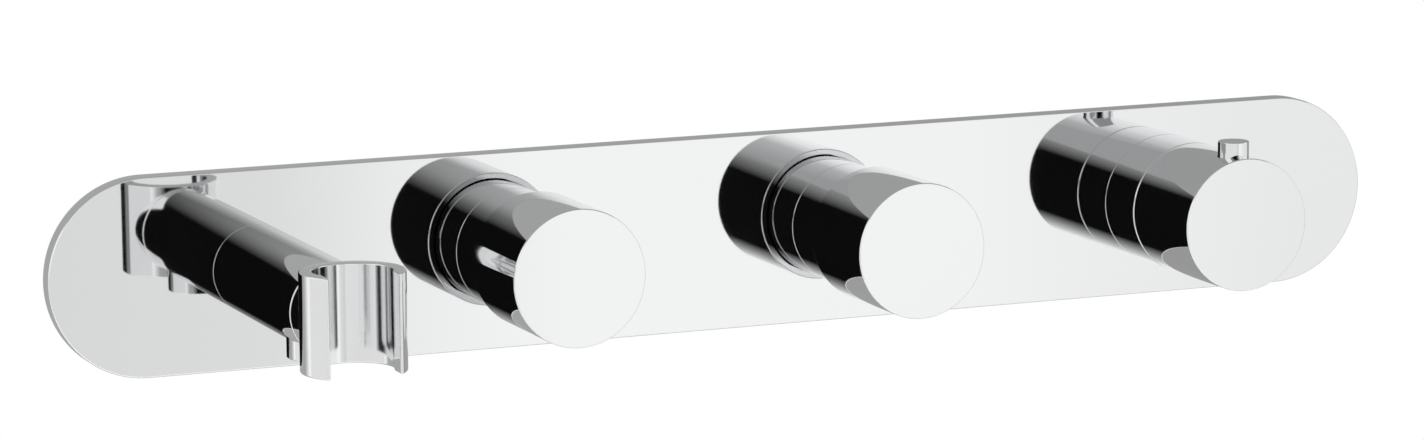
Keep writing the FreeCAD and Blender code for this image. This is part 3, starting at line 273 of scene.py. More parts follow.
class Finish(Graph):
    """A material, built from one principled shader."""

    def __init__(self, name, **constants):
        self.material = bpy.data.materials.new(name)
        self.material.use_nodes = True
        super().__init__(self.material.node_tree)
        self.shader = self.tree.nodes["Principled BSDF"]
        for socket, value in constants.items():
            self.set(socket.title(), value)

    def set(self, socket, value):
        """Feed one of the shader's sockets."""
        connect(self.tree, self.shader.inputs[socket], value)

    def place(self, scale=(1.0, 1.0, 1.0), centre=(0.0, 0.0, 0.0)):
        """Object coordinates, moved to a centre and stretched."""
        here = self.node("ShaderNodeTexCoord", output="Object")
        shift = tuple(-c * s for c, s in zip(centre, scale))
        inputs = {"Vector": here, "Location": shift, "Scale": scale}
        return self.node("ShaderNodeMapping", inputs=inputs)

    def noise(self, scale, detail, stretch=(1.0, 1.0, 1.0)):
        """Noise between 0 and 1."""
        inputs = {"Vector": self.place(stretch), "Scale": scale, "Detail": detail}
        return self.node("ShaderNodeTexNoise", inputs=inputs)

    def blend(self, amount, first, second):
        """A colour between two."""
        # The colour sockets share their names with others, so they go by number.
        inputs = {0: amount, 6: (*first, 1.0), 7: (*second, 1.0)}
        return self.node("ShaderNodeMix", {"data_type": "RGBA"}, inputs, 2)

    def tinted(self, amount, tint, low, high):
        """Feed the base colour with a tint that goes from one brightness to another."""
        self.set("Base Color", self.blend(amount, shade(tint, low), shade(tint, high)))

    def mix(self, amount, first, second):
        """A shader between two."""
        return self.node("ShaderNodeMixShader", inputs={0: amount, 1: first, 2: second})

    def end(self, shader):
        """Let a shader other than the principled one finish the material."""
        connect(self.tree, self.tree.nodes["Material Output"].inputs["Surface"], shader)

    def relief(self, height, distance, strength):
        """Feed the normal from a height."""
        inputs = {"Height": height, "Distance": distance, "Strength": strength}
        self.set("Normal", self.node("ShaderNodeBump", inputs=inputs))


def set_stops(ramp, stops):
    """Give a colour ramp its stops."""
    while len(ramp.elements) < len(stops):
        ramp.elements.new(0.5)
    for element, (position, value) in zip(ramp.elements, stops):
        element.position = position
        element.color = (value, value, value, 1.0)


def shade(tint, factor):
    """A colour made lighter or darker."""
    return tuple(min(1.0, part * factor) for part in tint)


def polished_chrome(tint):
    """Mirror chrome with a trace of wiping marks."""
    finish = Finish("polished_chrome", metallic=1.0)
    wiping = finish.noise(38.0, 4.0, WIPED)
    clouds = finish.noise(9.0, 2.0)
    finish.set("Roughness", 0.018 + (wiping * clouds) * 0.05)
    finish.tinted(clouds, tint, 0.985, 1.01)
    return finish.material


def bored_chrome(tint, axis, radius, satin):
    """Mirror chrome that is satin inside an upright bore."""
    finish = Finish("bored_chrome", metallic=1.0)
    beside = finish.place((1.0, 1.0, 0.0), (axis.x, axis.y, 0.0))
    away = finish.node("ShaderNodeVectorMath", {"operation": "LENGTH"}, {"Vector": beside}, "Value")
    fade, polished = 0.4 * MM, 0.03
    ends = {"From Min": radius, "From Max": radius + fade, "To Min": satin, "To Max": polished}
    rough = finish.node("ShaderNodeMapRange", inputs={"Value": away, **ends})
    wiping = finish.noise(38.0, 4.0, WIPED)
    finish.set("Roughness", rough + wiping * 0.02)
    finish.tinted(wiping, tint, 0.985, 1.01)
    return finish.material


def cast_brass(tint):
    """Sand-cast brass: mottled, with a fine grain."""
    finish = Finish("cast_brass", metallic=1.0)
    mottle = finish.noise(55.0, 5.0)
    grain = finish.noise(900.0, 3.0)
    finish.tinted(mottle, tint, 0.72, 1.12)
    finish.set("Roughness", 0.34 + mottle * 0.2 + grain * 0.08)
    finish.relief(grain + mottle * 0.6, 0.22 * MM, 0.7)
    return finish.material


def turned_brass(tint):
    """Machined brass: fine rings left by turning."""
    finish = Finish("turned_brass", metallic=1.0)
    lines = finish.noise(1.0, 2.0, (60.0, 5200.0, 60.0))
    mottle = finish.noise(70.0, 3.0)
    finish.tinted(mottle, tint, 0.86, 1.1)
    finish.set("Roughness", 0.16 + lines * 0.16 + mottle * 0.06)
    finish.relief(lines, 0.04 * MM, 0.6)
    return finish.material


def brushed_steel(tint):
    """Rolled stainless strip: lines along the length."""
    finish = Finish("brushed_steel", metallic=1.0)
    lines = finish.noise(1.0, 3.0, (22.0, 4200.0, 4200.0))
    patches = finish.noise(24.0, 3.0)
    finish.tinted(patches * lines * 2.0, tint, 0.78, 1.12)
    finish.set("Roughness", 0.2 + lines * 0.26)
    finish.relief(lines, 0.06 * MM, 0.7)
    return finish.material


def soft_rubber(tint):
    """Matt rubber with a dusty bloom."""
    finish = Finish("soft_rubber")
    bloom = finish.noise(140.0, 4.0)
    finish.tinted(bloom, tint, 1.0, 2.6)
    finish.set("Roughness", 0.62 + bloom * 0.25)
    finish.relief(finish.noise(2600.0, 2.0), 0.05 * MM, 0.6)
    return finish.material


def moulded_plastic(name, tint, gloss):
    """Moulded plastic with a fine grain."""
    finish = Finish(name)
    grain = finish.noise(3200.0, 2.0)
    finish.tinted(finish.noise(60.0, 2.0), tint, 0.93, 1.06)
    finish.set("Roughness", gloss + grain * 0.12)
    finish.relief(grain, 0.03 * MM, 0.4)
    return finish.material


def closed_foam(tint):
    """Closed-cell foam of the plate's seal."""
    finish = Finish("closed_foam")
    cells = finish.node("ShaderNodeTexVoronoi", inputs={"Vector": finish.place(), "Scale": 1500.0})
    finish.tinted(cells, tint, 4.5, 2.0)
    finish.set("Roughness", 0.8 + cells * 0.15)
    finish.relief(cells, 0.2 * MM, 0.8)
    return finish.material


def holder_axis():
    """The axis of the hand-shower holder's bore."""
    sizes = bpy.context.scene.valve_holder
    low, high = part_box("hand_shower_holder")
    outer = (high.x - low.x) / 2
    tips = math.sqrt(outer**2 - sizes.slot**2)
    return Vector((middle("hand_shower_holder").x, low.y + tips, 0.0)), outer


def make_finishes():
    """Every finish of the valve, by name."""
    tints = bpy.context.scene.valve_finishes
    satin_radius = bpy.context.scene.valve_holder.bore + 0.3 * MM
    return {
        "chrome": polished_chrome(tints.chrome),
        "bored": bored_chrome(tints.chrome, holder_axis()[0], satin_radius, tints.satin),
        "cast": cast_brass(tints.brass),
        "turned": turned_brass(tints.brass),
        "steel": brushed_steel(tints.steel),
        "rubber": soft_rubber(tints.rubber),
        "dark": moulded_plastic("dark_plastic", tints.dark_plastic, 0.36),
        "light": moulded_plastic("light_plastic", tints.light_plastic, 0.4),
        "ceramic": moulded_plastic("ceramic", tints.ceramic, 0.14),
        "foam": closed_foam(tints.rubber),
    }


FINISHES = {}


def add_object(name, data):
    """Put an object with the given data into the scene."""
    item = bpy.data.objects.new(name, data)
    bpy.context.scene.collection.objects.link(item)
    return item


def mesh_from(name, shape):
    """Turn a bmesh into a mesh."""
    mesh = bpy.data.meshes.new(name)
    shape.to_mesh(mesh)
    shape.free()
    return mesh


def object_from(name, shape, material):
    """Turn a bmesh into an object in the scene."""
    piece = add_object(name, mesh_from(name, shape))
    piece.data.materials.append(material)
    return piece


def settle(piece):
    """Replace an object's modifiers with their result."""
    graph = bpy.context.evaluated_depsgraph_get()
    mesh = bpy.data.meshes.new_from_object(piece.evaluated_get(graph))
    piece.modifiers.clear()
    old = piece.data
    piece.data = mesh
    mesh.name = piece.name
    bpy.data.meshes.remove(old)
    return piece


def smooth(piece, angle=35.0):
    """Shade smoothly, with large faces leading and sharp corners kept."""
    piece.data.shade_smooth()
    piece.data.set_sharp_from_angle(angle=math.radians(angle))
    weighted = piece.modifiers.new("weights", "WEIGHTED_NORMAL")
    weighted.mode = "FACE_AREA"
    weighted.weight = 100
    weighted.keep_sharp = True
    return settle(piece)


def carve(piece, cutters):
    """Take round cutters out of a piece."""
    for cutter in cutters:
        cut = piece.modifiers.new("cut", "BOOLEAN")
        cut.operation = "DIFFERENCE"
        cut.solver = "EXACT"
        cut.object = cutter
    settle(piece)
    for cutter in cutters:
        mesh = cutter.data
        bpy.data.objects.remove(cutter)
        bpy.data.meshes.remove(mesh)


def finish_off(piece, body, finish, *nodes):
    """Let a piece ride on its body, in place of the nodes that it stands for."""
    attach(piece, body)
    if nodes:
        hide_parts(*nodes)


def circle(radius, count):
    """Evenly spaced points of a circle."""
    turns = (2 * math.pi * step / count for step in range(count))
    return [(radius * math.cos(turn), radius * math.sin(turn)) for turn in turns]


def quarter_round(radius, steps=6):
    """How far a quarter round lies behind its first and its second face, from end to end."""
    turns = (QUARTER * step / steps for step in range(steps + 1))
    return [(radius * (1 - math.cos(turn)), radius * (1 - math.sin(turn))) for turn in turns]


def rounded(profile, radii, steps):
    """Round a profile's corners; radii maps a corner's number to its radius."""
    points = []
    for number, corner in enumerate(profile):
        radius = radii.get(number, 0.0)
        if radius == 0.0:
            points.append(corner)
            continue
        here = Vector(corner)
        back = (Vector(profile[number - 1]) - here).normalized()
        ahead = (Vector(profile[(number + 1) % len(profile)]) - here).normalized()
        start = here + back * radius
        end = here + ahead * radius
        centre = here + (back + ahead) * radius
        for step in range(steps + 1):
            turn = step / steps * QUARTER
            spot = centre + (start - centre) * math.cos(turn) + (end - centre) * math.sin(turn)
            points.append(tuple(spot))
    return points


def spin(profile, segments):
    """A closed body of revolution about +Z from (radius, along) points."""
    shape = bmesh.new()
    rings = []
    for radius, along in profile:
        on_axis = radius < 1e-7
        if on_axis:
            rings.append([shape.verts.new((0.0, 0.0, along))])
            continue
        rings.append(add_loop(shape, [(x, y, along) for x, y in circle(radius, segments)]))
    for number, ring in enumerate(rings):
        following = rings[(number + 1) % len(rings)]
        if len(ring) == 1 and len(following) == 1:
            continue
        for step in range(segments):
            after = (step + 1) % segments
            corners = [ring[step % len(ring)], ring[after % len(ring)]]
            corners += [following[after % len(following)], following[step % len(following)]]
            shape.faces.new(list(dict.fromkeys(corners)))
    bmesh.ops.recalc_face_normals(shape, faces=shape.faces)
    return shape


def turned(name, profile, place, direction, finish, segments):
    """A turned piece: profile distances run from the place along the direction."""
    shape = spin(profile, segments)
    shape.transform(Matrix.Translation(Vector(place)) @ direction)
    return object_from(name, shape, FINISHES[finish])


def drill(radius, start, depth):
    """A round cutter that reaches upwards from a point."""
    profile = [(0.0, 0.0), (radius, 0.0), (radius, depth), (0.0, depth)]
    return turned("cutter", profile, start, UPWARDS, "chrome", HOLE_STEPS)


def round_piece(
    name, node, profile, radii, place,
    direction=TO_FRONT, body="valve", finish="chrome", steps=4, segments=192, cutters=(),
):
    """Turn a piece from its profile, cut it, smooth it and let it stand for its node."""
    piece = turned(name, rounded(profile, radii, steps), place, direction, finish, segments)
    if cutters:
        carve(piece, cutters)
    finish_off(smooth(piece), body, finish, node)


def outline(span, height, inset, depth, segments=72):
    """Points of the plate's outline, taken in by an inset, at a depth along Y."""
    radius = height / 2 - inset
    straight = (span - height) / 2
    points = []
    for side in (1, -1):
        for step in range(segments + 1):
            turn = math.pi * (step / segments - 0.5)
            x = side * (straight + radius * math.cos(turn))
            z = side * radius * math.sin(turn)
            points.append(Vector((x, depth, z)))
    return points


def add_loop(shape, points):
    """Add a loop of vertices."""
    return [shape.verts.new(point) for point in points]


def walls(shape, loops):
    """Join each loop of vertices to the next one of the same count."""
    for first, second in zip(loops, loops[1:]):
        for number in range(len(first)):
            after = (number + 1) % len(first)
            shape.faces.new((first[number], first[after], second[after], second[number]))


def sheet_between(shape, loops):
    """Fill a flat face whose first loop is the outside and the others are holes."""
    edges = []
    for loop in loops:
        for number, vertex in enumerate(loop):
            pair = (vertex, loop[(number + 1) % len(loop)])
            edges.append(shape.edges.get(pair) or shape.edges.new(pair))
    bmesh.ops.triangle_fill(shape, use_beauty=True, use_dissolve=False, edges=edges)


def close_ends(shape, loops):
    """Join the loops and fill the first and the last."""
    walls(shape, loops)
    sheet_between(shape, [loops[0]])
    sheet_between(shape, [loops[-1]])


def plate_passages(gap):
    """Place and radius of the holes for the arm's nipple and the three nuts."""
    nipple, nut, wide_nut = reach("arm_nipple").x / 2, 11.0 * MM, 13.0 * MM
    nodes = ("arm_nipple", "left_headwork", "middle_headwork", "cartridge_body")
    radii = (nipple, nut, nut, wide_nut)
    return [(middle(node).x, radius + gap) for node, radius in zip(nodes, radii)]


def plate_hole(shape, x, radius, depths):
    """The front and back loops of a hole, with its wall."""
    ring = circle(radius, HOLE_STEPS)
    loops = [add_loop(shape, [(x + u, depth, v) for u, v in ring]) for depth in depths]
    walls(shape, loops)
    return loops


class VALVE_OT_cover_plate(bpy.types.Operator):
    """Make the polished cover plate"""

    bl_idname = "valve.cover_plate"
    bl_label = "Cover plate"

    def execute(self, context):
        sizes = context.scene.valve_plate
        low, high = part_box("cover_plate")
        span = high - low
        front = low.y
        recess = front + sizes.skin
        shape = bmesh.new()
        edge = quarter_round(sizes.edge_round)
        outside = [(0.0, 0.0)] + [(inset, front + depth) for inset, depth in edge]
        inside = [(sizes.rim, 0.0), (sizes.rim, recess)]
        rims, inner = (
            [add_loop(shape, outline(span.x, span.z, inset, depth)) for inset, depth in places]
            for places in (outside, inside)
        )
        walls(shape, rims)
        walls(shape, [rims[0]] + inner)
        passages = plate_passages(sizes.hole_gap)
        holes = [plate_hole(shape, *passage, (front, recess)) for passage in passages]
        sheet_between(shape, [rims[-1]] + [hole[0] for hole in holes])
        sheet_between(shape, [inner[1]] + [hole[1] for hole in holes])
        bmesh.ops.recalc_face_normals(shape, faces=shape.faces)
        plate = smooth(object_from("polished_cover_plate", shape, FINISHES["chrome"]))
        finish_off(plate, "valve", "chrome", "cover_plate")
        return {"FINISHED"}


class VALVE_OT_neck_sleeves(bpy.types.Operator):
    """Make the three fixed sleeves behind the handles"""

    bl_idname = "valve.neck_sleeves"
    bl_label = "Neck sleeves"

    def execute(self, context):
        sizes = context.scene.valve_controls
        plate_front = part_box("cover_plate")[0].y
        neck = reach("left_neck_sleeve").x / 2
        bore = neck - sizes.sleeve_wall
        web = sizes.sleeve_web
        handle_gap = 0.3 * MM
        for side, node, nose in (
            ("left", "left_neck_sleeve", 11.1 * MM),
            ("middle", "middle_neck_sleeve", 11.1 * MM),
            ("thermostat", "thermostat_sleeve", 13.1 * MM),
        ):
            low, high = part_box(node)
            end = plate_front - low.y
            outer = (high.x - low.x) / 2
            profile = [(nose, 0.0), (outer, 0.0)]
            full_width = outer > neck + MM
            if full_width:
                shoulder = plate_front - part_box(side + "_handle")[1].y - handle_gap
                profile += [(outer, shoulder), (neck, shoulder)]
            profile += [(neck, end), (bore, end), (bore, web), (nose, web)]
            radii = {1: sizes.joint_round, 2: sizes.seam_round}
            place = (middle(node).x, plate_front, 0.0)
            round_piece(side + "_sleeve_shell", node, profile, radii, place)
        return {"FINISHED"}


def screw_way(node, outer, sizes):
    """Cutter for the grub screw's way in, from below."""
    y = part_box(node)[0].y + sizes.screw_from_front
    inner_end = sizes.socket + 0.5 * MM
    start = (middle(node).x, y, -outer - MM)
    return drill(sizes.screw_hole, start, outer + MM - inner_end)


def button_way():
    """Cutter for the safety button's way out, from above."""
    centre = middle("safety_button")
    fine_gap, start, depth = 0.12 * MM, 11.5 * MM, 14.0 * MM
    return drill(BUTTON_RADIUS + fine_gap, (centre.x, centre.y, start), depth)


class VALVE_OT_handles(bpy.types.Operator):
    """Make the three turning handles"""

    bl_idname = "valve.handles"
    bl_label = "Handles"

    def execute(self, context):
        sizes = context.scene.valve_controls
        mouth = reach("left_neck_sleeve").x / 2 + sizes.mouth_gap
        depth = sizes.mouth_depth
        radii = {1: sizes.seam_round, 2: sizes.edge_round}
        for side in CONTROLS:
            node = side + "_handle"
            place, outer, total = along_y(node)
            inside = total - sizes.front_wall
            boss_back = inside - sizes.boss_length
            profile = [(mouth, 0.0), (outer, 0.0), (outer, total), (0.0, total), (0.0, inside)]
            profile += [(sizes.socket, inside), (sizes.socket, boss_back), (sizes.boss, boss_back)]
            profile += [(sizes.boss, inside), (sizes.cavity, inside)]
            profile += [(sizes.cavity, depth), (mouth, depth)]
            cutters = [screw_way(node, outer, sizes)]
            if side == "thermostat":
                cutters.append(button_way())
            round_piece(
                side + "_handle_shell", node, profile, radii, place,
                body=side + "_control", steps=5, segments=256, cutters=cutters,
            )
        return {"FINISHED"}


class VALVE_OT_safety_button(bpy.types.Operator):
    """Make the sprung safety button"""

    bl_idname = "valve.safety_button"
    bl_label = "Safety button"

    def execute(self, context):
        low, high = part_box("safety_button")
        centre = (low + high) / 2
        total = high.z - low.z
        radius = BUTTON_RADIUS
        flange, thick = (high.x - low.x) / 2, 1.3 * MM
        pocket, depth = 4.2 * MM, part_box("safety_button_spring")[1].z - low.z
        profile = [(0.0, depth), (pocket, depth), (pocket, 0.0), (flange, 0.0)]
        profile += [(flange, thick), (radius, thick), (radius, total), (0.0, total)]
        radii = {6: context.scene.valve_controls.edge_round}
        round_piece(
            "safety_button_cap", "safety_button", profile, radii, (centre.x, centre.y, low.z),
            UPWARDS, body="button", steps=5, segments=128,
        )
        return {"FINISHED"}


def arm_ways(x, pivot):
    """Cutters from below: the bush's seat, its water way and the lock screw's hole."""
    below, inside = -30.0 * MM, -20.0 * MM
    low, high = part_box("hose_outlet_bush")
    outlet = middle("hose_outlet_bush").y
    screw_low, screw_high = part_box("swivel_lock_screw")
    screw = (screw_low.y + screw_high.y) / 2
    bush_gap, water, screw_hole = 0.1 * MM, 5.0 * MM, 1.55 * MM
    return [
        drill((high.x - low.x) / 2 + bush_gap, (x, outlet, below), high.z - below),
        drill(water, (x, outlet, inside), -inside),
        drill(screw_hole, (x, screw, below), -below - pivot),
    ]


def make_washer():
    """The light washer between the arm and the holder."""
    place, outer, thick = along_y("swivel_washer")
    bore = 5.4 * MM
    profile = [(bore, 0.0), (outer, 0.0), (outer, thick), (bore, thick)]
    radii = {1: 0.2 * MM, 2: 0.2 * MM}
    round_piece(
        "swivel_washer_ring", "swivel_washer", profile, radii, place,
        finish="light", steps=3,
    )


def make_bush(x, wall):
    """The bush that takes the shower hose."""
    low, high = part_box("hose_outlet_bush")
    rim, total = (high.x - low.x) / 2, high.z - low.z
    thread, neck = rim - wall, 5.0 * MM
    mouth = total - 2.0 * MM
    profile = [(thread, 0.0), (rim, 0.0), (rim, total)]
    profile += [(neck, total), (neck, mouth), (thread, mouth)]
    radii = {0: 0.3 * MM, 1: 0.3 * MM}
    place = (x, middle("hose_outlet_bush").y, low.z)
    round_piece(
        "hose_outlet_collar", "hose_outlet_bush", profile, radii, place,
        UPWARDS, steps=3, segments=160,
    )


class VALVE_OT_holder_arm(bpy.types.Operator):
    """Make the arm, its washer and the hose outlet's bush"""

    bl_idname = "valve.holder_arm"
    bl_label = "Holder arm"

    def execute(self, context):
        place, radius, total = along_y("holder_arm")
        nipple, nipple_depth = 10.5 * MM, 14.0 * MM
        water = 6.0 * MM
        water_end = place[1] - middle("hose_outlet_bush").y + water
        pivot, pivot_depth = 5.1 * MM, total - 8.5 * MM
        profile = [(nipple, 0.0), (radius, 0.0), (radius, total), (pivot, total)]
        profile += [(pivot, pivot_depth), (0.0, pivot_depth), (0.0, water_end)]
        profile += [(water, water_end), (water, nipple_depth), (nipple, nipple_depth)]
        radii = {1: 0.3 * MM, 2: 0.25 * MM}
        cutters = arm_ways(place[0], pivot)
        round_piece(
            "holder_arm_tube", "holder_arm", profile, radii, place,
            segments=256, cutters=cutters,
        )
        make_washer()
        make_bush(place[0], context.scene.valve_holder.outlet_wall)
        return {"FINISHED"}


def holder_levels(shape, ring, bend, centre):
    """Loops of the C-shaped section from the bottom rim to the top rim."""
    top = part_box("hand_shower_holder")[1].z
    upper = [(top - down, inset) for down, inset in quarter_round(bend)]
    lower = [(-height, inset) for height, inset in upper]
    loops = []
    for height, inset in lower + upper[::-1]:
        section = holder_section(ring, inset)
        loops.append(add_loop(shape, [centre + Vector((x, y, height)) for x, y in section]))
    return loops


def holder_section(ring, inset, segments=120, steps=6):
    """The C-shaped section, open towards -Y, taken in by an inset."""
    inner, outer, slot, corner_round = ring
    smallest_round = 0.05 * MM
    bend = max(corner_round - inset, smallest_round)
    points = []
    for radius, way in ((outer - inset, 1), (inner + inset, -1)):
        track = radius - bend * way
        begin = QUARTER - math.acos((slot + inset + bend) / track)
        corner_x, corner_y = track * math.sin(begin), -track * math.cos(begin)
        run = []
        for step in range(steps, 0, -1):
            turn = step / steps * QUARTER
            x = math.sin(begin) * way * math.cos(turn) - math.sin(turn)
            y = -math.cos(begin) * way * math.cos(turn)
            size = bend / math.hypot(x, y)
            run.append((corner_x + x * size, corner_y + y * size))
        sweep = 2 * math.pi - 2 * begin
        turns = (begin + sweep * step / segments for step in range(segments + 1))
        mirrored = [(-x, y) for x, y in run[::-1]]
        run += [(radius * math.sin(turn), -radius * math.cos(turn)) for turn in turns]
        points += (run + mirrored)[::way]
    return points


def add_stub(shape, sizes, outer, centre, segments=192):
    """The round stub behind the section; its front follows the section's wall."""
    radius = sizes.stub_radius
    washer_gap, past_middle, edge_round = 0.05 * MM, 0.4 * MM, 0.2 * MM
    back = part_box("swivel_washer")[0].y - washer_gap
    inside = (outer + sizes.bore) / 2 + past_middle
    rings = []
    # Each ring's share of the radius and its distance from the back; None follows the wall.
    for part, depth in ((0.02, 0.0), (0.985, 0.0), (1.0, edge_round), (1.0, None), (0.5, None)):
        ring = []
        for x, z in circle(radius * part, segments):
            front = centre.y + math.sqrt(inside**2 - x**2)
            y = front if depth is None else max(back - depth, front)
            ring.append(shape.verts.new((centre.x + x, y, z)))
        rings.append(ring)
    walls(shape, rings)
    shape.faces.new(rings[0][::-1])
    shape.faces.new(rings[-1])


def add_spigot(shape, x):
    """The grooved spigot that pivots in the arm."""
    radius, groove = 5.0 * MM, 3.6 * MM
    start, groove_start, groove_end, end = -0.85 * MM, 2.0 * MM, 4.6 * MM, 8.2 * MM
    profile = [(0.0, start), (radius, start), (radius, groove_start), (groove, groove_start)]
    profile += [(groove, groove_end), (radius, groove_end), (radius, end), (0.0, end)]
    part = spin(profile, segments=64)
    place = Matrix.Translation((x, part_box("holder_arm")[0].y, 0.0))
    part.transform(place @ Matrix.Rotation(-QUARTER, 4, "X"))
    mesh = mesh_from("spigot", part)
    shape.from_mesh(mesh)
    bpy.data.meshes.remove(mesh)


class VALVE_OT_hand_shower_holder(bpy.types.Operator):
    """Make the open-fronted hand-shower holder"""

    bl_idname = "valve.hand_shower_holder"
    bl_label = "Hand-shower holder"

    def execute(self, context):
        sizes = context.scene.valve_holder
        centre, outer = holder_axis()
        shape = bmesh.new()
        ring = (sizes.bore, outer, sizes.slot, sizes.slot_round)
        close_ends(shape, holder_levels(shape, ring, sizes.rim_round, centre))
        add_stub(shape, sizes, outer, centre)
        add_spigot(shape, centre.x)
        bmesh.ops.recalc_face_normals(shape, faces=shape.faces)
        piece = smooth(object_from("hand_shower_cradle", shape, FINISHES["bored"]))
        finish_off(piece, "holder", "bored", "hand_shower_holder")
        return {"FINISHED"}


class Nodes(Graph):
    """A node tree that makes geometry: one shape on every point."""

    def __init__(self, name):
        super().__init__(bpy.data.node_groups.new(name, "GeometryNodeTree"))
        for way in ("INPUT", "OUTPUT"):
            self.socket("Geometry", way, "Geometry")
        self.entry = self.tree.nodes.new("NodeGroupInput")
        self.exit = self.tree.nodes.new("NodeGroupOutput")
        self.names = {}

    def socket(self, name, way, kind):
        """Add a socket to the tree's own inputs or outputs."""
        kind = "NodeSocket" + kind
        return self.tree.interface.new_socket(name, in_out=way, socket_type=kind)

    def take(self, kind, *names):
        """Add named inputs and return their signals."""
        for name in names:
            self.names[name] = self.socket(name, "INPUT", kind).identifier
        return [Signal(self.tree, self.entry.outputs[name]) for name in names]

    def add(self, kind, inputs, settings=None):
        """Add a node that works on geometry."""
        return self.node("GeometryNode" + kind, settings, inputs)

    def lifted(self, geometry, height):
        """Geometry moved along Z."""
        shift = self.node("ShaderNodeCombineXYZ", inputs={"Z": height})
        return self.add("Transform", {"Geometry": geometry, "Translation": shift})

    def finish(self, shape, turn=(0.0, 0.0, 0.0)):
        """End the tree with the shape on every point, as real geometry in its material."""
        points = Signal(self.tree, self.entry.outputs["Geometry"])
        spots = self.add("MeshToPoints", {"Mesh": points})
        placed = {"Points": spots, "Instance": shape, "Rotation": turn}
        real = self.add("RealizeInstances", {"Geometry": self.add("InstanceOnPoints", placed)})
        (material,) = self.take("Material", "Material")
        done = self.add("SetMaterial", {"Geometry": real, "Material": material})
        connect(self.tree, self.exit.inputs[0], done)

    def run(self, name, points, values):
        """Run the tree on loose points and return a plain object with the result."""
        mesh = bpy.data.meshes.new(name)
        mesh.from_pydata(points, [], [])
        piece = add_object(name, mesh)
        modifier = piece.modifiers.new("nodes", "NODES")
        modifier.node_group = self.tree
        for label, value in values.items():
            modifier[self.names[label]] = value
        return settle(piece)


def thread_tree():
    """A screw thread: a ridge that winds inside a socket's wall."""
    nodes = Nodes("socket_thread")
    radius, turns, depth, ridge = nodes.take("Float", "Radius", "Turns", "Depth", "Ridge")
    (steps,) = nodes.take("Int", "Steps")
    radii = {"Start Radius": radius, "End Radius": radius}
    path = {"Resolution": steps, "Rotations": turns, **radii, "Height": depth}
    section = nodes.add("CurvePrimitiveCircle", {"Resolution": 4, "Radius": ridge})
    tube = {"Curve": nodes.add("CurveSpiral", path), "Profile Curve": section, "Fill Caps": True}
    nodes.finish(nodes.add("CurveToMesh", tube))
    return nodes


class VALVE_OT_socket_threads(bpy.types.Operator):
    """Wind the screw threads inside the pipe sockets"""

    bl_idname = "valve.socket_threads"
    bl_label = "Socket threads"

    def execute(self, context):
        sizes = context.scene.valve_threads
        nodes = thread_tree()
        mounts = {mount["name"]: mount for mount in frame["record"]["mounts"]}
        # Turns left out at a socket's ends, and how far a ridge's middle is off the wall.
        free_turns, lift = 2.2, sizes.height * 0.2
        for name, finish in (
            ("hot_inlet", "turned"),
            ("cold_inlet", "turned"),
            ("overhead_outlet", "turned"),
            ("hose_outlet", "chrome"),
        ):
            x, y, z = mounts[name]["pos_m"]
            depth = mounts[name]["dims"]["length_mm"] * MM - free_turns * sizes.pitch
            values = {
                "Radius": sizes.wall - lift,
                "Turns": depth / sizes.pitch,
                "Depth": depth,
                "Ridge": sizes.height,
                "Steps": sizes.steps,
                "Material": FINISHES[finish],
            }
            piece = nodes.run(name + "_thread", [(x, y, z - depth / 2)], values)
            finish_off(smooth(piece, angle=50.0), "valve", finish)
        return {"FINISHED"}


def screw_tree():
    """Pan-head screws with a cross recess, one on each point."""
    nodes = Nodes("bracket_screw_row")
    names = ("Head radius", "Head thickness", "Shank radius", "Shank length", "Recess width")
    head, thick, shank, long, recess = nodes.take("Float", *names)
    even = {"Vertices": 64, "Side Segments": 3}
    top = nodes.add("MeshCylinder", {**even, "Radius": head, "Depth": thick})
    rod = nodes.add("MeshCylinder", {**even, "Radius": shank, "Depth": long})
    rod = nodes.lifted(rod, (thick + long) * -0.5)
    past_rim = 1.15
    wide = head * past_rim
    bars = []
    for first, second in ((wide, recess), (recess, wide)):
        size = {"X": first, "Y": second, "Z": thick}
        bar = nodes.add("MeshCube", {"Size": nodes.node("ShaderNodeCombineXYZ", inputs=size)})
        bars.append(nodes.lifted(bar, thick * 0.5))
    cut = nodes.add("MeshBoolean", {"Mesh 1": top, "Mesh 2": bars}, {"operation": "DIFFERENCE"})
    screw = nodes.add("JoinGeometry", {"Geometry": [cut, rod]})
    nodes.finish(screw, (-QUARTER, 0.0, 0.0))
    return nodes


class VALVE_OT_bracket_screws(bpy.types.Operator):
    """Set the screws that hold the blocks to the wall bracket"""

    bl_idname = "valve.bracket_screws"
    bl_label = "Bracket screws"

    def execute(self, context):
        low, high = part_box("bracket_screws")
        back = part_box("wall_bracket")[1].y
        thick = high.y - back
        near, far = 12.0 * MM, 22.0 * MM
        spots = []
        for node, rise in (
            ("arm_nipple", near),
            ("left_headwork", near),
            ("middle_headwork", near),
            ("cartridge_body", far),
        ):
            x = middle(node).x
            spots += [(x, back + thick / 2, z) for z in (rise, -rise)]
        values = {
            "Head radius": 4.5 * MM,
            "Head thickness": thick,
            "Shank radius": 2.4 * MM,
            "Shank length": back - low.y,
            "Recess width": 1.1 * MM,
            "Material": FINISHES["steel"],
        }
        piece = screw_tree().run("bracket_screw_set", spots, values)
        finish_off(smooth(piece), "valve", "steel", "bracket_screws")
        return {"FINISHED"}


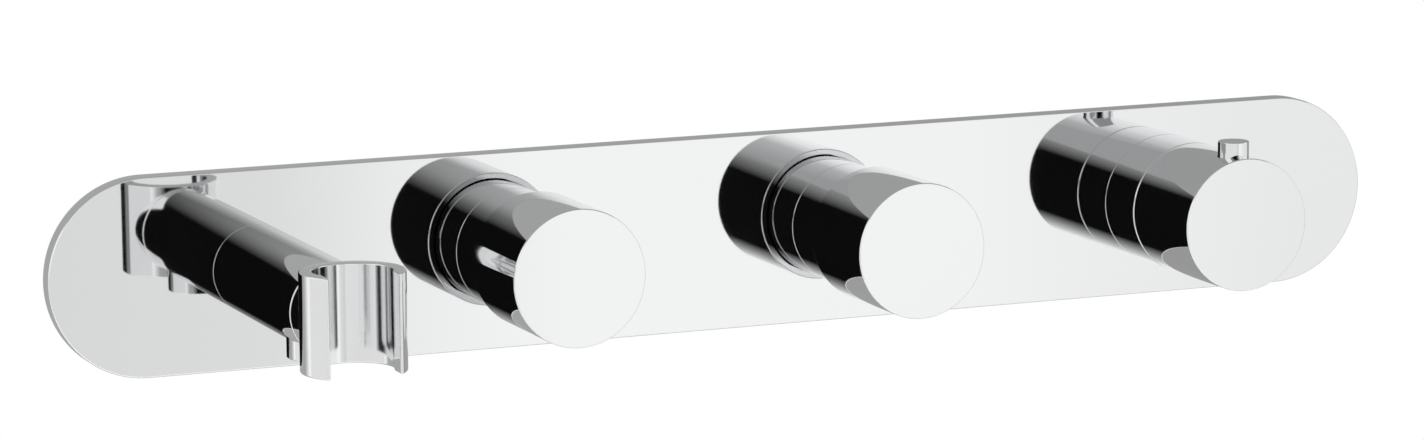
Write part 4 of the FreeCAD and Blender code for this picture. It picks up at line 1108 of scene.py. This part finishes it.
CARRIED = {
    "cast": ("arm_port_block", "left_valve_block", "middle_valve_block", "thermostat_block"),
    "turned": (
        "neck_sleeve_nuts", "thermostat_sleeve_nut", "left_headwork", "middle_headwork",
        "left_spindle", "middle_spindle", "connecting_pipes", "arm_nipple", "cartridge_body",
        "cartridge_retaining_ring", "temperature_spindle", "wax_element",
    ),
    "steel": (
        "swivel_lock_screw", "left_handle_screw", "middle_handle_screw",
        "thermostat_handle_screw", "inlet_strainers", "wall_bracket",
    ),
    "rubber": (
        "swivel_friction_ring", "left_spindle_seal", "middle_spindle_seal", "seat_seals",
        "pipe_seals", "nipple_seals", "cartridge_seals", "temperature_spindle_seal",
    ),
    "foam": ("plate_seal",),
    "dark": (
        "left_handle_insert", "middle_handle_insert", "thermostat_handle_insert",
        "regulating_piston", "spring_seat", "hot_check_poppet", "cold_check_poppet",
        "check_valve_bodies",
    ),
    "light": ("stop_ring",),
    "ceramic": ("left_turning_disc", "middle_turning_disc", "fixed_ceramic_discs"),
}
DRESSED = CARRIED["cast"] + ("connecting_pipes", "wall_bracket", "left_headwork", "middle_headwork")


def set_finish(part, material):
    """Put one finish on every slot of a CAD node."""
    if not part.material_slots:
        part.data.materials.append(material)
    for place in part.material_slots:
        place.material = material


def dress_node(node, finish):
    """A merged copy of a node's mesh, smooth on its round walls."""
    source = frame["nodes"][node]
    shape = bmesh.new()
    shape.from_mesh(source.data)
    bmesh.ops.remove_doubles(shape, verts=shape.verts, dist=1e-6)
    copy = object_from(node + "_dressed", shape, FINISHES[finish])
    finish_off(smooth(copy, angle=28.0), source["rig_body"], finish, node)


class VALVE_OT_inner_pieces(bpy.types.Operator):
    """Give the pieces behind the plate their finishes and smooth walls"""

    bl_idname = "valve.inner_pieces"
    bl_label = "Inner pieces"

    def execute(self, context):
        for finish, nodes in CARRIED.items():
            for node in nodes:
                set_finish(frame["nodes"][node], FINISHES[finish])
                if node in DRESSED:
                    dress_node(node, finish)
        return {"FINISHED"}


# A spring's node, the bodies at its low and high end, its axis, wire and turns.
SPRINGS = (
    ("safety_button_spring", "thermostat_control", "button", 2, 1.0 * MM, 7),
    ("hot_check_spring", "hot_poppet", "valve", 2, 0.8 * MM, 7),
    ("cold_check_spring", "cold_poppet", "valve", 2, 0.8 * MM, 7),
    ("return_spring", "regulator", "valve", 1, 1.6 * MM, 6),
)


def spring_coil(low, high, axis, wire, turns, steps=40, sides=10):
    """Round wire wound inside a node's box, with a closed turn at each end."""
    shape = bmesh.new()
    centre = (low + high) / 2
    along = Vector([float(number == axis) for number in range(3)])
    radius = (high.x - low.x) / 2 - wire / 2
    height = high[axis] - low[axis] - wire
    closed = wire / height
    loops = []
    for step in range(turns * steps + 1):
        turn = step / steps
        if turn <= 1:
            climb = closed * turn
        elif turn >= turns - 1:
            climb = 1 - closed * (turns - turn)
        else:
            climb = closed + (1 - 2 * closed) * (turn - 1) / (turns - 2)
        angle = 2 * math.pi * turn
        out = Vector((math.cos(angle), 0.0, 0.0))
        out[3 - axis] = math.sin(angle)
        spot = centre + out * radius + along * height * (climb - 0.5)
        ways = [out * u + along * v for u, v in circle(1.0, sides)]
        loops.append(add_loop(shape, [spot + way * (wire / 2) for way in ways]))
    close_ends(shape, loops)
    bmesh.ops.recalc_face_normals(shape, faces=shape.faces)
    return shape


class VALVE_OT_springs(bpy.types.Operator):
    """Wind the four springs, each inside its node's box"""

    bl_idname = "valve.springs"
    bl_label = "Springs"

    def execute(self, context):
        for node, low_body, high_body, axis, wire, turns in SPRINGS:
            low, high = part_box(node)
            shape = spring_coil(low, high, axis, wire, turns)
            piece = smooth(object_from(node + "_coil", shape, FINISHES["steel"]))
            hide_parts(node)
            start, end = (low + high) / 2, (low + high) / 2
            start[axis], end[axis] = low[axis] + wire, high[axis] - wire
            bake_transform(piece)
        return {"FINISHED"}


def hide(item, *kinds):
    """Keep an object out of sight of some kinds of rays."""
    for kind in kinds:
        setattr(item, "visible_" + kind, False)


FLOOR_SIZE = (28.0, 28.0)
WALL_SIZE = (0.72, 0.26)
# How a card's tone changes from one edge to the other: (share of the way, tone).
EVEN = ((0.0, 1.0), (1.0, 1.0))
FLAG_ACROSS = ((0.0, 0.0), (0.42, 1.0), (0.87, 1.0), (1.0, 0.0))
FLAG_UPWARDS = ((0.0, 1.0), (0.867, 1.0), (1.0, 0.0))
HOOD_ACROSS = ((0.0, 1.0), (0.2, 1.0), (0.36, 0.6), (0.52, 0.27), (1.0, 0.25))
PANEL_ACROSS = ((0.0, 0.92), (0.42, 0.93), (0.46, 0.97), (0.5, 1.02))
PANEL_ACROSS += ((0.63, 1.03), (0.665, 0.96), (0.705, 0.82), (1.0, 0.68))
PANEL_UPWARDS = ((0.0, 1.0), (0.55, 1.0), (0.7, 0.85), (0.8, 0.65), (1.0, 0.5))
WALL_ACROSS = ((0.0, 1.0), (0.012, 1.0), (0.035, 0.42), (0.2, 0.34), (1.0, 0.34))


def flat_piece(name, size, finish):
    """A flat rectangle of the given size, in the given finish."""
    shape = bmesh.new()
    bmesh.ops.create_grid(shape, x_segments=1, y_segments=1, size=0.5)
    bmesh.ops.scale(shape, verts=shape.verts, vec=(*size, 1.0))
    piece = object_from(name, shape, finish.material)
    return piece


def seen_by(finish, in_metal=1.0):
    """One for the camera's rays, a share for metal and glass, nothing for those that light."""
    camera, glossy, through = finish.rays("Camera", "Glossy", "Transmission")
    return camera + (glossy + through) * in_metal


def add_floor(stage):
    """A plain pale floor that keeps the valve's shadow and is open from below."""
    finish = Finish("pale_floor", roughness=0.85)
    finish.tinted(finish.noise(2.0, 2.0), stage.floor_colour, 0.99, 1.01)
    seen = seen_by(finish, in_metal=0.55)
    finish.set("Emission Color", finish.blend(seen, (0.0, 0.0, 0.0), (1.0, 1.0, 1.0)))
    finish.set("Emission Strength", stage.floor_lift)
    finish.set("Alpha", 1.0 - finish.node("ShaderNodeNewGeometry", output="Backfacing"))
    floor = flat_piece("pale_floor", FLOOR_SIZE, finish)
    floor.location = (0.0, 0.0, -stage.floor_drop)


def add_wall():
    """The finished wall: white from the front, and open from behind."""
    finish = Finish("white_wall")
    white = finish.node("ShaderNodeEmission", inputs={"Strength": seen_by(finish)})
    open_back = finish.node("ShaderNodeBsdfTransparent")
    behind = finish.node("ShaderNodeNewGeometry", output="Backfacing")
    finish.end(finish.mix(behind, white, open_back))
    wall = flat_piece("white_wall", WALL_SIZE, finish)
    wall.rotation_euler = (QUARTER, 0.0, 0.0)
    hide(wall, "shadow", "diffuse")


def light_sky(stage):
    """Even light from all round, white where the camera or the metal sees it."""
    world = bpy.data.worlds.new("studio_sky")
    world.use_nodes = True
    bpy.context.scene.world = world
    graph = Graph(world.node_tree)
    background = graph.tree.nodes["Background"]
    camera, glossy = graph.rays("Camera", "Glossy")
    strength = (camera + glossy) * (1.0 - stage.sky) + stage.sky
    background.inputs["Color"].default_value = (1.0, 1.0, 1.0, 1.0)
    connect(graph.tree, background.inputs["Strength"], strength)


def add_card(name, place, size, glow, tones, edges):
    """A glowing card that faces the valve; its tone varies across and upwards.

    A card with edges fades out there, and only metal seen in other metal shows it.
    """
    finish = Finish(name)
    here = finish.node("ShaderNodeTexCoord", output="Object")
    split = "ShaderNodeSeparateXYZ", None, {"Vector": here}
    along = [finish.node(*split, axis) * (1.0 / extent) + 0.5 for axis, extent in zip("XY", size)]

    def steps(stops, way):
        return finish.node("ShaderNodeValToRGB", {"stops": stops}, {"Fac": way})

    across, upwards = map(steps, tones, along)
    light = finish.node("ShaderNodeEmission", inputs={"Strength": across * upwards * glow})
    if edges:
        from_sides, from_top = map(steps, edges, along)
        gone = finish.node("ShaderNodeBsdfTransparent")
        bounces = finish.node("ShaderNodeLightPath", output="Glossy Depth")
        again = steps(((0.0, 0.0), (1.0, 1.0)), bounces - 1.0)
        light = finish.mix(from_sides * from_top * again, gone, light)
    finish.end(light)
    card = flat_piece(name, size, finish)
    card.location = place
    on_wall = abs(place[1]) < 0.01
    toward = Vector((0.0, -1.0, 0.0)) if on_wall else -Vector(place)
    card.rotation_euler = toward.to_track_quat("Z", "Y").to_euler()
    hide(card, "camera", "shadow")


def add_lamp(name, place, size, power):
    """A soft rectangular lamp aimed at the valve."""
    light = bpy.data.lights.new(name, "AREA")
    light.shape = "RECTANGLE"
    light.size, light.size_y = size
    light.energy = power
    lamp = add_object(name, light)
    lamp.location = place
    lamp.rotation_euler = (-Vector(place)).to_track_quat("-Z", "Y").to_euler()
    hide(lamp, "camera", "glossy")


def add_camera(stage):
    """The camera at the photograph's angle."""
    azimuth, drop, roll = (math.radians(angle) for angle in (22.54, 9.61, -0.43))
    place = (-0.65822, -1.56991, 0.29139)
    level = Vector((math.cos(azimuth), -math.sin(azimuth), 0.0))
    flat = math.cos(drop)
    ahead = Vector((math.sin(azimuth) * flat, math.cos(azimuth) * flat, -math.sin(drop)))
    rise = level.cross(ahead)
    right = level * math.cos(roll) + rise * math.sin(roll)
    up = rise * math.cos(roll) - level * math.sin(roll)
    data = bpy.data.cameras.new("studio_camera")
    data.lens = stage.lens
    data.sensor_width = 36.0
    data.clip_end = 60.0
    camera = add_object("studio_camera", data)
    turn = Matrix((right, up, -ahead)).transposed().to_4x4()
    camera.matrix_world = Matrix.Translation(place) @ turn
    bpy.context.scene.camera = camera
    bpy.context.scene.view_settings.view_transform = "Standard"


class VALVE_OT_studio(bpy.types.Operator):
    """Build the floor, the wall, the cards, the lamps and the camera"""

    bl_idname = "valve.studio"
    bl_label = "Studio"

    def execute(self, context):
        stage = context.scene.valve_stage
        add_floor(stage)
        add_wall()
        light_sky(stage)
        plain, panel = (EVEN, EVEN), (PANEL_ACROSS, PANEL_UPWARDS)
        hood, flag = (HOOD_ACROSS, EVEN), (FLAG_ACROSS, FLAG_UPWARDS)
        for name, place, size, glow, tones, edges in (
            ("grey_hood", (-0.6, -4.6, 0.8), (9.0, 6.0), stage.hood, hood, plain),
            ("dark_flag", (-0.25, -1.95, -0.15), (2.3, 2.1), stage.flag, plain, flag),
            ("right_panel", (1.6, -3.2, 0.2), (3.6, 4.4), stage.front, panel, None),
            ("ceiling", (0.0, -0.6, 2.6), (7.0, 7.0), stage.ceiling, plain, None),
            ("wall_card", (0.925, -0.0006, 0.15), (2.55, 2.1), 1.0, (WALL_ACROSS, EVEN), None),
        ):
            add_card(name, place, size, glow, tones, edges)
        add_lamp("key", (-1.2, -1.4, 2.2), (1.6, 1.2), power=40.0)
        add_lamp("fill", (1.8, 1.6, 1.6), (1.6, 1.2), power=30.0)
        add_camera(stage)
        return {"FINISHED"}


OPERATORS = (
    VALVE_OT_cover_plate,
    VALVE_OT_neck_sleeves,
    VALVE_OT_handles,
    VALVE_OT_safety_button,
    VALVE_OT_holder_arm,
    VALVE_OT_hand_shower_holder,
    VALVE_OT_socket_threads,
    VALVE_OT_bracket_screws,
    VALVE_OT_inner_pieces,
    VALVE_OT_springs,
    VALVE_OT_studio,
)


class VALVE_PT_sidebar(bpy.types.Panel):
    """Buttons and sizes in the 3D view's sidebar"""

    bl_idname = "VALVE_PT_sidebar"
    bl_label = "Shower Valve"
    bl_space_type = "VIEW_3D"
    bl_region_type = "UI"
    bl_category = "Shower Valve"

    def draw(self, context):
        for operator in OPERATORS:
            self.layout.operator(operator.bl_idname)
        for name, group in GROUPS:
            box = self.layout.box()
            box.label(text=group.__doc__)
            for item in group.__annotations__:
                box.prop(getattr(context.scene, name), item)


def register():
    """Register the classes and their settings."""
    for name, group in GROUPS:
        bpy.utils.register_class(group)
        setattr(bpy.types.Scene, name, PointerProperty(type=group))
    for item in OPERATORS + (VALVE_PT_sidebar,):
        bpy.utils.register_class(item)


def unregister():
    """Take the classes and their settings out again."""
    for item in reversed(OPERATORS + (VALVE_PT_sidebar,)):
        bpy.utils.unregister_class(item)
    for name, group in reversed(GROUPS):
        delattr(bpy.types.Scene, name)
        bpy.utils.unregister_class(group)


def main():
    """Make every piece and the studio."""
    register()
    FINISHES.update(make_finishes())
    for operator in OPERATORS:
        group, name = operator.bl_idname.split(".")
        getattr(getattr(bpy.ops, group), name)()


if __name__ == "__main__":
    main()
